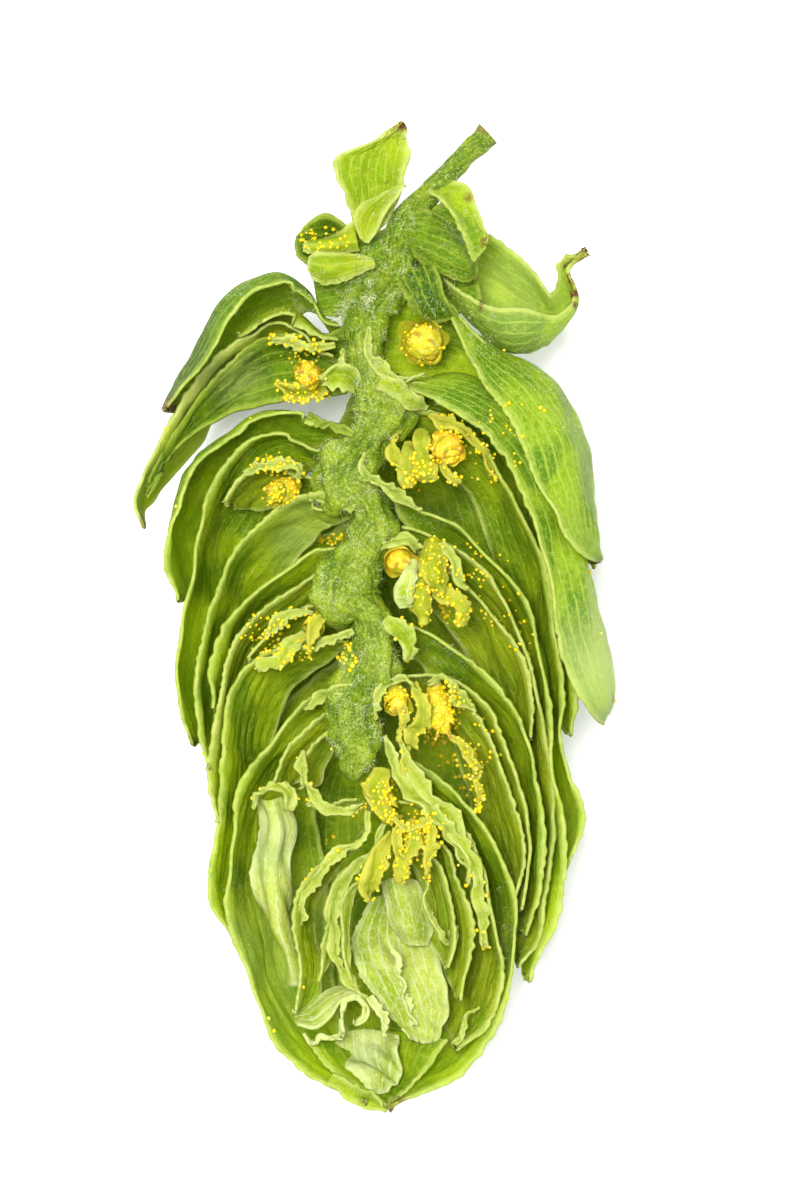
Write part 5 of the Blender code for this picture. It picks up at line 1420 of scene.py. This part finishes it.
# The stalk and the strig, from the cut end of the stalk: x, y, half width, half height.
STEM = (
    (4.45, 19.35, 0.50, 0.50), (3.9, 18.85, 0.46, 0.48), (3.0, 17.95, 0.45, 0.48),
    (2.1, 17.0, 0.50, 0.50), (1.4, 16.2, 0.56, 0.60), (1.0, 15.4, 0.66, 0.70), (0.85, 14.6, 0.72, 0.72),
    (0.7, 13.8, 0.85, 0.75), (0.2, 13.0, 1.00, 0.78), (-0.3, 12.3, 0.95, 0.75), (-0.5, 11.4, 0.72, 0.70),
    (-0.5, 10.4, 0.62, 0.70), (-0.35, 9.5, 0.75, 0.72), (0.05, 8.8, 1.20, 0.80), (0.15, 8.2, 1.35, 0.80),
    (-0.2, 7.4, 0.85, 0.72), (-0.6, 6.7, 0.95, 0.75), (-1.05, 6.0, 1.30, 0.82), (-1.2, 5.4, 1.35, 0.82),
    (-0.7, 4.95, 0.85, 0.72), (-0.3, 4.4, 0.72, 0.72), (-0.2, 3.7, 0.85, 0.78), (-0.4, 2.9, 0.85, 0.76),
    (-0.8, 2.0, 1.05, 0.80), (-1.15, 1.2, 1.30, 0.85), (-1.1, 0.7, 1.25, 0.82), (-0.5, 0.2, 0.80, 0.74),
    (-0.25, -0.6, 0.80, 0.75), (-0.2, -1.4, 0.95, 0.80), (-0.3, -2.1, 1.15, 0.84),
    (-0.6, -2.8, 1.05, 0.82), (-0.9, -3.7, 0.90, 0.78), (-0.75, -4.7, 1.00, 0.80),
    (-0.8, -5.5, 0.85, 0.68), (-0.9, -6.1, 0.55, 0.48), (-0.95, -6.5, 0.25, 0.25),
)
STEM_RAISE = 0.1         # the stem's middle stands this far above the cut plane
STEM_GRID = (420, 72)    # points along and round it
CAP_ROWS = 3             # rows of points that close each end
STEM_RIBS = 7
BUMP_REACH = 0.85        # how far a leaf's base swells the strig
BUMP_RISE = 0.18         # how high it swells it
STEM_MIDDLE_X = -0.6     # the strig's middle, over most of its length
ROOT_REACH = 2.2         # a blade that starts nearer to it than this swells the strig
STEM_THIN = 0.8          # a stem of less half width than this is smoother
STEM_LUMPS = (0.10, 0.04, 0.05, 0.07)    # heights of lumps, grain, ribs and knobs
PALE_FROM_Y = 14.0       # the strig grows paler from here down


def with_caps(rows: np.ndarray) -> np.ndarray:
    """Repeat the first and the last row, for the points that close a stem's ends."""
    return np.pad(rows, ((CAP_ROWS, CAP_ROWS), (0, 0)), mode="edge")


def add_stem(kit: Kit, roots: Sequence[tuple[float, float, float]]) -> bpy.types.Object:
    """Add the stalk and the strig, which are one lumpy, ribbed stem.

    Args:
        kit: What the builders share.
        roots: Where leaves spring from it, as (x, y, height).

    Returns:
        The stem.
    """
    rows, columns = STEM_GRID
    stations = smooth_path(STEM, np.linspace(0.0, 1.0, rows - 2 * CAP_ROWS))
    line = with_caps(stations)
    scale = np.concatenate(([0.0, 0.45, 0.9], np.ones(len(stations)), [0.8, 0.4, 0.0]))
    dent = np.concatenate(([0.10, 0.06, 0.0], np.zeros(len(stations) + CAP_ROWS)))
    heading = with_caps(unit(np.gradient(stations[:, :2], axis=0)))
    length = np.concatenate(([0.0], np.cumsum(np.linalg.norm(np.diff(line[:, :2], axis=0),
                                                             axis=1))))
    turn = np.linspace(0.0, 2.0 * pi, columns)
    sideways = np.stack((-heading[:, 1], heading[:, 0], 0.0 * heading[:, 0]), axis=1)
    out = (np.cos(turn)[None, :, None] * sideways[:, None, :]
           + np.sin(turn)[None, :, None] * np.array((0.0, 0.0, 1.0)))
    centre = np.stack((line[:, 0], line[:, 1], np.full(len(line), CUT_Z + STEM_RAISE)), axis=1)
    centre[:, :2] += heading * dent[:, None]
    radius = scale[:, None] * np.hypot(line[:, 2][:, None] * np.cos(turn)[None, :],
                                       line[:, 3][:, None] * np.sin(turn)[None, :])
    smooth = centre[:, None, :] + out * radius[..., None]
    lumps = Ripple(101, 1.5).over(smooth[..., 0], smooth[..., 1], smooth[..., 2])
    grain = Ripple(102, 0.5).over(smooth[..., 1], smooth[..., 0], smooth[..., 2], stretch=3.0)
    twist = Ripple(103, 6.0).over(length[:, None], 0.0 * turn[None, :])
    ribs = np.cos(STEM_RIBS * turn[None, :] + 1.2 * twist)
    knobs = Ripple(104, 0.8).over(smooth[..., 0], smooth[..., 1], smooth[..., 2])
    swell = sum(high * form for high, form in zip(STEM_LUMPS, (lumps, grain, ribs, knobs)))
    for root in roots:
        gap = np.linalg.norm(smooth - np.asarray(root), axis=-1)
        swell = swell + BUMP_RISE * np.exp(-((gap / BUMP_REACH) ** 2))
    thin = np.minimum(1.0, line[:, 2] / STEM_THIN)[:, None] ** 2.5 * scale[:, None]
    points = smooth + out * (swell * thin)[..., None]
    leaf = np.stack((length[:, None] + 0.0 * turn, 4.0 * np.cos(turn)[None, :] + 0.0 * radius,
                     radius), axis=-1)
    cut = smoothstep(1.0 - length / 0.35)[:, None] + 0.0 * radius
    pale = 0.3 * smoothstep(0.5 + 0.5 * lumps) * smoothstep((PALE_FROM_Y - smooth[..., 1]) / 2.0)
    marks = np.stack((cut, pale, 0.0 * cut), axis=-1)
    shape = new_shape()
    grid_faces(shape, points, leaf, marks, wrap=True)
    bmesh.ops.recalc_face_normals(shape, faces=shape.faces)
    piece = to_object(shape, "strig_stem", (kit.materials["stem_skin"],))
    return kit.keep(piece, "strig", "strig")


@dataclass(frozen=True)
class Floret:
    """A floret: an ovary in a cup, with the stumps of its two styles.

    Attributes:
        name: Its name.
        centre: Its middle, as (x, y, height above the cut).
        half_length: Half its length.
        half_width: Half its width.
        heading: The way it points.
        orange: How orange it is.
        opening: How wide its cup opens.
    """

    name: str
    centre: tuple[float, float, float]
    half_length: float
    half_width: float
    heading: tuple[float, float, float]
    orange: float = 0.3
    opening: float = 1.15


FLORETS = (
    Floret("floret_left_1", (-2.7, 9.75, 0.0), 0.62, 0.6, (-0.3, -0.2, 1.0), 0.9, 0.9),
    Floret("floret_left_2", (-3.7, 5.15, -0.2), 0.7, 0.6, (-0.7, -0.3, 0.5), 0.9, 0.9),
    Floret("floret_left_3", (-2.45, -0.2, 0.2), 0.5, 0.38, (-0.3, -0.8, 0.6), 0.3, 1.2),
    Floret("floret_right_1", (1.9, 11.0, 0.2), 0.8, 0.85, (-0.1, 0.1, 1.0), 0.15, 1.15),
    Floret("floret_right_2", (2.75, 6.85, 0.5), 0.85, 0.78, (0.25, -0.35, 0.9), 1.0, 0.85),
    Floret("floret_right_3", (0.85, 2.3, 0.7), 0.7, 0.6, (0.2, -0.3, 1.0), 0.7, 1.1),
    Floret("floret_right_4", (0.8, -3.2, 0.6), 0.75, 0.5, (0.1, -0.7, 0.8), 0.6, 1.1),
    Floret("floret_right_5", (2.45, -3.6, 0.3), 1.1, 0.6, (0.15, -1.0, 0.3), 0.5, 0.9),
    Floret("floret_tip_1", (0.25, -7.0, 0.1), 0.8, 0.42, (0.2, -1.0, 0.3), 0.7, 1.0),
    Floret("floret_tip_2", (1.4, -8.8, 0.1), 0.75, 0.6, (-0.1, -1.0, 0.5), 0.4, 1.1),
)


def turned(points: np.ndarray, floret: Floret) -> np.ndarray:
    """Return points of a floret that stands along Z, laid in its place."""
    heading = unit(np.array(floret.heading))
    side = unit(np.cross((0.0, 0.3, 1.0), heading))
    up = np.cross(heading, side)
    centre = np.asarray(floret.centre) + (0.0, 0.0, CUT_Z)
    return (centre + points[..., :1] * side + points[..., 1:2] * up + points[..., 2:] * heading)


def add_skin(shape: bmesh.types.BMesh, floret: Floret, points: np.ndarray,
             brown: float | np.ndarray, orange: float | np.ndarray) -> None:
    """Add a round surface of a floret, with how brown and how orange it is."""
    none = np.zeros(points.shape[:2])
    marks = np.stack((none + brown, none + orange, none), -1)
    grid_faces(shape, turned(points, floret), np.zeros(points.shape), marks, wrap=True)


def add_floret(kit: Kit, floret: Floret) -> bpy.types.Object:
    """Add a floret: its ovary, the cup round it and its styles."""
    shape = new_shape()
    around = np.linspace(0.0, 2.0 * pi, 41)
    rise = np.linspace(0.0, 1.0, 31)
    # the ovary
    belly = np.sin(pi * rise) ** 0.7
    height = -np.cos(pi * rise) * floret.half_length * 0.9
    ring = floret.half_width * 0.82 * belly[:, None]
    egg = np.stack((ring * np.cos(around), ring * np.sin(around),
                    height[:, None] + 0.0 * around), axis=-1)
    rough = Ripple(seed_of(floret.name, 1), 0.45).over(egg[..., 0], egg[..., 1], egg[..., 2])
    egg *= (1.0 + 0.07 * rough)[..., None]
    orange = floret.orange * smoothstep(0.6 + 0.6 * rough)
    add_skin(shape, floret, egg, 0.0, orange)
    # the cup
    flare = floret.half_width * (0.35 + (floret.opening - 0.35) * np.sin(0.5 * pi * rise) ** 0.8)
    wave = Ripple(seed_of(floret.name, 2), 0.7)
    ring = flare[:, None] * np.ones_like(around)
    height = (-1.05 + 1.75 * rise)[:, None] * floret.half_length + 0.0 * around
    folds = wave.over(ring * np.cos(around), ring * np.sin(around), height * 0.3)
    ring = ring * (1.0 + 0.16 * folds * rise[:, None])
    height = height + 0.16 * folds * rise[:, None] ** 2
    cup = np.stack((ring * np.cos(around), ring * np.sin(around), height), axis=-1)
    add_skin(shape, floret, cup, 0.0, 0.4 * orange)
    bmesh.ops.recalc_face_normals(shape, faces=shape.faces)
    # the styles
    for side in (-0.35, 0.35):
        along = np.linspace(0.0, 1.0, 13)
        turn = np.linspace(0.0, 2.0 * pi, 9)
        thick = 0.09 * (1.0 - 0.55 * along) * np.where((along == 0) | (along == 1), 0.0, 1.0)
        tube = np.stack((side * floret.half_width * (0.3 + 1.2 * along)[:, None]
                         + thick[:, None] * np.cos(turn),
                         0.12 * np.sin(3.0 * along)[:, None] + thick[:, None] * np.sin(turn),
                         (floret.half_length * (0.7 + 0.55 * along))[:, None] + 0.0 * turn), -1)
        add_skin(shape, floret, tube, 0.75 * smoothstep(along)[:, None], 0.0)
    bmesh.ops.recalc_face_normals(shape, faces=shape.faces)
    piece = to_object(shape, f"{floret.name}_cup", (kit.materials["floret_wax"],))
    return kit.keep(piece, "floret", floret.name)


# -------------------------------------------------------------------------- glands and hairs


@dataclass(frozen=True)
class Zone:
    """A round part of the cut face, where glands or hairs stand.

    Attributes:
        x: The place of its middle to the right.
        y: The place of its middle along the cone.
        reach_x: Its half width.
        reach_y: Its half height.
        count: How many stand in it.
        size: Their radius or length, in millimetres.
    """

    x: float
    y: float
    reach_x: float
    reach_y: float
    count: int
    size: float


GLAND_ZONES = tuple(Zone(*values) for values in (
    (-2.1, 15.1, 1.1, 0.6, 38, 0.065), (-2.6, 8.85, 1.4, 0.25, 31, 0.073),
    (-2.7, 9.75, 0.75, 0.7, 42, 0.060), (-3.1, 10.7, 0.9, 0.5, 28, 0.060),
    (1.9, 11.0, 1.0, 0.95, 31, 0.065), (2.75, 6.8, 0.8, 0.85, 42, 0.060),
    (1.7, 5.9, 0.7, 0.7, 35, 0.073), (4.6, 6.6, 1.3, 1.3, 24, 0.069), (-3.9, 5.0, 0.8, 0.6, 49, 0.073),
    (-4.2, 6.2, 1.0, 0.5, 28, 0.069), (-1.9, 3.25, 0.6, 0.25, 28, 0.073),
    (2.3, 2.0, 0.7, 1.3, 42, 0.065), (1.7, 0.7, 0.5, 0.8, 21, 0.069), (3.1, 0.3, 0.7, 0.6, 28, 0.073),
    (3.7, 2.2, 0.7, 0.9, 21, 0.065), (-4.5, -0.6, 1.0, 0.8, 42, 0.069),
    (-3.4, -1.3, 0.9, 0.5, 31, 0.069), (-1.15, -1.5, 0.4, 0.6, 28, 0.073),
    (0.75, -3.2, 0.5, 0.8, 31, 0.060), (2.9, -3.6, 0.6, 1.0, 77, 0.073),
    (2.4, -4.9, 0.5, 0.5, 21, 0.073), (3.4, -6.2, 0.9, 1.2, 35, 0.069),
    (0.3, -7.3, 0.5, 0.9, 49, 0.073), (1.7, -8.3, 1.0, 0.7, 56, 0.073),
    (0.9, -9.8, 0.8, 0.7, 28, 0.069), (4.9, 1.0, 0.8, 1.6, 21, 0.065), (5.8, -1.0, 0.5, 1.2, 11, 0.069),
    (-1.8, -9.3, 0.4, 0.4, 7, 0.069), (4.3, -5.0, 0.8, 1.0, 14, 0.069), (5.3, 8.0, 1.4, 0.8, 11, 0.069),
))
HAIR_ZONES = tuple(Zone(*values) for values in (
    (-1.3, 12.1, 0.4, 0.25, 200, 0.40), (-0.8, 12.5, 0.4, 0.3, 220, 0.40),
    (-0.25, 13.05, 0.35, 0.35, 200, 0.40), (0.3, 13.6, 1.4, 1.4, 600, 0.26),
    (-0.6, 10.8, 1.0, 1.6, 571, 0.22), (0.0, 8.4, 1.5, 1.4, 704, 0.22),
    (-1.2, 6.0, 1.5, 1.3, 651, 0.22), (-0.3, 4.0, 1.2, 1.2, 492, 0.22),
    (-1.2, 1.5, 1.4, 1.5, 651, 0.22), (-0.2, -1.5, 1.3, 1.5, 651, 0.24),
    (-0.8, -4.4, 1.2, 1.8, 704, 0.24), (2.7, 17.7, 2.4, 2.2, 700, 0.18),
    (3.0, 11.6, 1.8, 1.8, 500, 0.20), (-5.0, 13.2, 2.6, 1.2, 900, 0.11),
    (6.0, 9.0, 3.0, 2.5, 1500, 0.08), (2.6, 15.0, 1.6, 1.6, 400, 0.18),
    (-2.0, 12.8, 1.4, 1.0, 400, 0.26), (0.6, 16.0, 1.2, 1.0, 240, 0.20),
    (1.3, -11.8, 0.8, 1.2, 260, 0.11), (5.4, -12.5, 0.7, 2.4, 400, 0.11),
    (2.6, -1.8, 1.2, 1.0, 300, 0.20), (2.5, 4.4, 1.6, 0.8, 260, 0.18), (1.5, 8.9, 1.2, 0.9, 300, 0.20),
    (-6.5, 5.5, 1.8, 3.4, 400, 0.12), (8.0, 3.0, 1.4, 5.0, 900, 0.08),
    (-5.8, -13.0, 1.0, 4.0, 300, 0.11),
))
HAIR_RADIUS = 0.0065     # of the finest hairs
HAIR_SLIMNESS = 0.037    # radius of a longer hair against its length
SKIN_HAIRS = 5200        # hairs all over the outside
SKIN_GLANDS = 260        # glands all over the outside
SKIN_HAIR_LENGTH = 0.10
SKIN_GLAND_SIZE = 0.07
SKIN_LOWEST = 0.25       # nothing small stands lower, where the cone meets the floor
SKIN_RISE = 0.12         # how far the outside reaches above the cut plane, in radians
SKIN_Y = (-18.0, 13.5)   # its stretch along the cone
SKIN_SLANT = (-0.25, 0.35)
OUTSIDE_RADIUS = 40.0    # from how far away the outside is reached
GLAND_SPREAD = (0.65, 1.35)    # a gland's radius against its zone's
GLAND_HEIGHT = (0.7, 1.0)      # how flat glands are
GLAND_RAISE = 0.45             # how far their middle stands above the leaf, in radii
HAIR_SPREAD = (0.5, 1.3)       # a hair's length against its zone's
HAIR_LEAN = 0.75
HAIR_DROOP = (0.0, -0.25, 0.0)
HAIR_POINT = 0.15              # the width of a hair's tip against its base


def footholds_above(zone: Zone, seed: int) -> list[Foothold]:
    """Return random places on what is seen from above in a zone."""
    chance = np.random.RandomState(seed)
    depsgraph = bpy.context.evaluated_depsgraph_get()
    found = []
    for _ in range(zone.count):
        turn = chance.uniform(0.0, 2.0 * pi)
        gap = np.sqrt(chance.uniform())
        x = zone.x + zone.reach_x * gap * np.cos(turn)
        y = zone.y + zone.reach_y * gap * np.sin(turn)
        start = Vector((x, y, OUTSIDE_RADIUS)) * MM
        hit, point, out, *_ = bpy.context.scene.ray_cast(depsgraph, start, Vector((0, 0, -1)))
        if hit:
            found.append(Foothold(point, out if out.z > 0 else -out))
    return found


def footholds_outside(count: int, seed: int) -> list[Foothold]:
    """Return random places on the outside, below and beside the cut face."""
    chance = np.random.RandomState(seed)
    depsgraph = bpy.context.evaluated_depsgraph_get()
    found = []
    for _ in range(count):
        turn = chance.uniform(-SKIN_RISE, pi + SKIN_RISE)
        aim = Vector((CONE_AXIS_X, chance.uniform(*SKIN_Y), CUT_Z)) * MM
        away = Vector((np.cos(turn), chance.uniform(*SKIN_SLANT), -np.sin(turn))).normalized()
        start = aim + away * OUTSIDE_RADIUS * MM
        hit, point, out, *_ = bpy.context.scene.ray_cast(depsgraph, start, -away)
        if hit and point.z > SKIN_LOWEST * MM:
            found.append(Foothold(point, out if out.dot(away) > 0 else -out))
    return found


def repeated(shape: bmesh.types.BMesh, name: str, count: int) -> bpy.types.Mesh:
    """Return a mesh that holds a small body a number of times in one place.

    Args:
        shape: The small body.
        name: The mesh's name.
        count: How many times it is wanted.

    Returns:
        The mesh, with the bodies one after another.
    """
    mesh = bpy.data.meshes.new(f"{name}_one")
    shape.to_mesh(mesh)
    holder = bpy.data.objects.new(f"{name}_one", mesh)
    bpy.context.scene.collection.objects.link(holder)
    row = holder.modifiers.new("row", "ARRAY")
    row.count = count
    row.use_relative_offset = False
    row.use_merge_vertices = False
    depsgraph = bpy.context.evaluated_depsgraph_get()
    result = bpy.data.meshes.new_from_object(holder.evaluated_get(depsgraph))
    bpy.data.objects.remove(holder, do_unlink=True)
    bpy.data.meshes.remove(mesh)
    result.name = name
    return result


def add_swarm(kit: Kit, name: str, template: bmesh.types.BMesh, places: np.ndarray,
              marks: np.ndarray, material: str, slot: str) -> bpy.types.Object:
    """Add many small bodies as one piece.

    Args:
        kit: What the builders share.
        name: The piece's name.
        template: One body, about 1 metre large.
        places: For each body, the three axes that shape it and its place, in metres.
        marks: The marks of each body.
        material: The material's name.
        slot: The record's material slot.

    Returns:
        The piece.
    """
    one = np.array([vertex.co[:] for vertex in template.verts])
    mesh = repeated(template, name, len(places))
    template.free()
    points = np.einsum("vk,nkc->nvc", one, places[:, :3]) + places[:, None, 3]
    mesh.vertices.foreach_set("co", points.astype(np.float32).ravel())
    every = np.repeat(marks[:, None, :], len(one), axis=1)
    mesh.attributes["marks"].data.foreach_set("vector", every.astype(np.float32).ravel())
    mesh.materials.append(kit.materials[material])
    mesh.shade_smooth()
    mesh.update()
    return kit.keep(bpy.data.objects.new(name, mesh), slot)


def axes_from(out: Vector, lean: np.ndarray) -> np.ndarray:
    """Return three axes at right angles, the third along a leaning direction."""
    third = unit(np.asarray(out) + lean)
    helper = np.array((1.0, 0.0, 0.0)) if abs(third[0]) < 0.8 else np.array((0.0, 1.0, 0.0))
    first = unit(np.cross(helper, third))
    return np.stack((first, np.cross(third, first), third))


def add_glands(kit: Kit, name: str, held: list[tuple[Foothold, float]],
               seed: int) -> bpy.types.Object:
    """Add resin glands as small beads, each sunk a little into its leaf."""
    chance = np.random.RandomState(seed)
    places, marks = [], []
    for foothold, size in held:
        radius = size * chance.uniform(*GLAND_SPREAD) * MM
        axes = axes_from(foothold.out, chance.normal(scale=0.2, size=3))
        flat = np.array((1.0, 1.0, chance.uniform(*GLAND_HEIGHT)))[:, None] * radius
        place = np.asarray(foothold.point) + np.asarray(foothold.out) * radius * GLAND_RAISE
        places.append(np.vstack((axes * flat, place)))
        marks.append((chance.uniform() ** 2, chance.uniform() ** 3, 0.0))
    shape = new_shape()
    bmesh.ops.create_uvsphere(shape, u_segments=8, v_segments=6, radius=1.0)
    return add_swarm(kit, name, shape, np.array(places), np.array(marks), "gland", "floret")


def add_hairs(kit: Kit, name: str, held: list[tuple[Foothold, float]], slot: str,
              seed: int) -> bpy.types.Object:
    """Add hairs as thin cones, each leaning its own way."""
    chance = np.random.RandomState(seed)
    places = []
    for foothold, size in held:
        length = size * chance.uniform(*HAIR_SPREAD) * MM
        axes = axes_from(foothold.out, chance.normal(scale=HAIR_LEAN, size=3) + HAIR_DROOP)
        width = max(HAIR_RADIUS, HAIR_SLIMNESS * size) * MM
        scaled = axes * np.array((width, width, length))[:, None]
        places.append(np.vstack((scaled, np.asarray(foothold.point))))
    shape = new_shape()
    bmesh.ops.create_cone(shape, segments=3, radius1=1.0, radius2=HAIR_POINT, depth=1.0,
                          cap_ends=True)
    bmesh.ops.translate(shape, verts=shape.verts, vec=(0.0, 0.0, 0.45))
    marks = np.zeros((len(places), 3))
    return add_swarm(kit, name, shape, np.array(places), marks, "hair", slot)


def add_small_things(kit: Kit) -> None:
    """Add the glands and the hairs."""
    bpy.context.view_layer.update()
    glands = kit.beads + [(foothold, zone.size) for number, zone in enumerate(GLAND_ZONES)
                          for foothold in footholds_above(zone, 300 + number)]
    skin = [(foothold, SKIN_GLAND_SIZE) for foothold in footholds_outside(SKIN_GLANDS, 290)]
    hairs = [(foothold, zone.size) for number, zone in enumerate(HAIR_ZONES)
             for foothold in footholds_above(zone, 500 + number)]
    fur = [(foothold, SKIN_HAIR_LENGTH) for foothold in footholds_outside(SKIN_HAIRS, 291)]
    add_glands(kit, "glands", glands, 1)
    add_glands(kit, "glands_outside", skin, 2)
    add_hairs(kit, "hairs", hairs, "strig", 3)
    add_hairs(kit, "hairs_outside", fur, "bract", 4)


# ------------------------------------------------------------------------------------- stage


@dataclass(frozen=True)
class Softbox:
    """A square light.

    Attributes:
        name: Its name.
        place: Where it stands, in metres.
        size: Its side, in metres.
        power: Its power in watts.
    """

    name: str
    place: tuple[float, float, float]
    size: float
    power: float


LIGHTS = (
    Softbox("key", (-0.06, 0.05, 0.40), 0.14, 3.0),
    Softbox("fill", (0.30, 0.02, 0.30), 0.24, 0.5),
)
WORLD_STRENGTH = 0.84
FLOOR_SIZE = 1.2
CAMERA_PLACE = (0.00092, 0.00068, 0.18735)
CAMERA_LENS = 135.0


def floor_material() -> bpy.types.Material:
    """Return the material of the pale floor."""
    material, graph = new_material("floor")
    place = graph.place()
    tone = graph.add("ShaderNodeTexNoise", {"Vector": place, "Scale": 3.0}).outputs["Fac"]
    colour = graph.mix(tone, *FLOOR_TONES)
    body = graph.add("ShaderNodeBsdfPrincipled", {"Base Color": colour, "Roughness": 0.9,
                                                  "Specular IOR Level": 0.1})
    graph.add("ShaderNodeOutputMaterial", {"Surface": body.outputs[0]})
    return material


def add_stage() -> None:
    """Add the floor, the lights, the world and the camera."""
    shape = bmesh.new()
    bmesh.ops.create_grid(shape, x_segments=1, y_segments=1, size=FLOOR_SIZE / 2.0)
    floor = to_object(shape, "floor", (floor_material(),))
    bpy.context.scene.collection.objects.link(floor)
    for light in LIGHTS:
        data = bpy.data.lights.new(light.name, "AREA")
        data.shape = "SQUARE"
        data.size = light.size
        data.energy = light.power
        lamp = bpy.data.objects.new(light.name, data)
        lamp.location = light.place
        aim = Vector((0.0, 0.0, CUT_Z * MM)) - lamp.location
        lamp.rotation_euler = aim.to_track_quat("-Z", "Y").to_euler()
        bpy.context.scene.collection.objects.link(lamp)
    world = bpy.data.worlds.new("studio")
    world.use_nodes = True
    background = world.node_tree.nodes["Background"]
    background.inputs["Color"].default_value = (1.0, 1.0, 1.0, 1.0)
    background.inputs["Strength"].default_value = WORLD_STRENGTH
    bpy.context.scene.world = world
    lens = bpy.data.cameras.new("camera")
    lens.lens = CAMERA_LENS
    lens.clip_start = 0.01
    camera = bpy.data.objects.new("camera", lens)
    camera.location = CAMERA_PLACE
    bpy.context.scene.collection.objects.link(camera)
    bpy.context.scene.camera = camera
    bpy.context.scene.view_settings.view_transform = "Standard"


def make_materials() -> dict[str, bpy.types.Material]:
    """Return every material of the cone by its name."""
    group = leaf_group(vein_group())
    looks = {look.name: look for tissue in Tissue for look in tissue.value[1:]}
    materials = {name: leaf_material(look, group) for name, look in looks.items()}
    for make in (strig_material, floret_material, gland_material, hair_material):
        material = make()
        materials[material.name] = material
    return materials


def stem_roots() -> list[tuple[float, float, float]]:
    """Return where leaves and florets spring from the strig."""
    starts = [blade.section[0] for blade in LEFT_BLADES + RIGHT_BLADES]
    return [(x, y, CUT_Z) for x, y in starts if abs(x - STEM_MIDDLE_X) < ROOT_REACH]


def main() -> None:
    """Build the half cone and its stage."""
    logging.basicConfig(level=logging.INFO, format="%(name)s: %(message)s")
    kit = Kit(make_materials())
    add_stem(kit, stem_roots())
    for blade in LEFT_BLADES + RIGHT_BLADES:
        add_blade(kit, blade)
    for number, (section, reach) in enumerate(BACK_BRACTS, 1):
        add_back_bract(kit, number, section, reach)
    for patch in PATCHES:
        add_patch(kit, patch)
    for flap in FLAPS:
        add_patch(kit, flap_patch(flap), FLAP_GRID, flap.beads)
    for floret in FLORETS:
        add_floret(kit, floret)
    add_small_things(kit)
    add_stage()


if __name__ == "__main__":
    main()
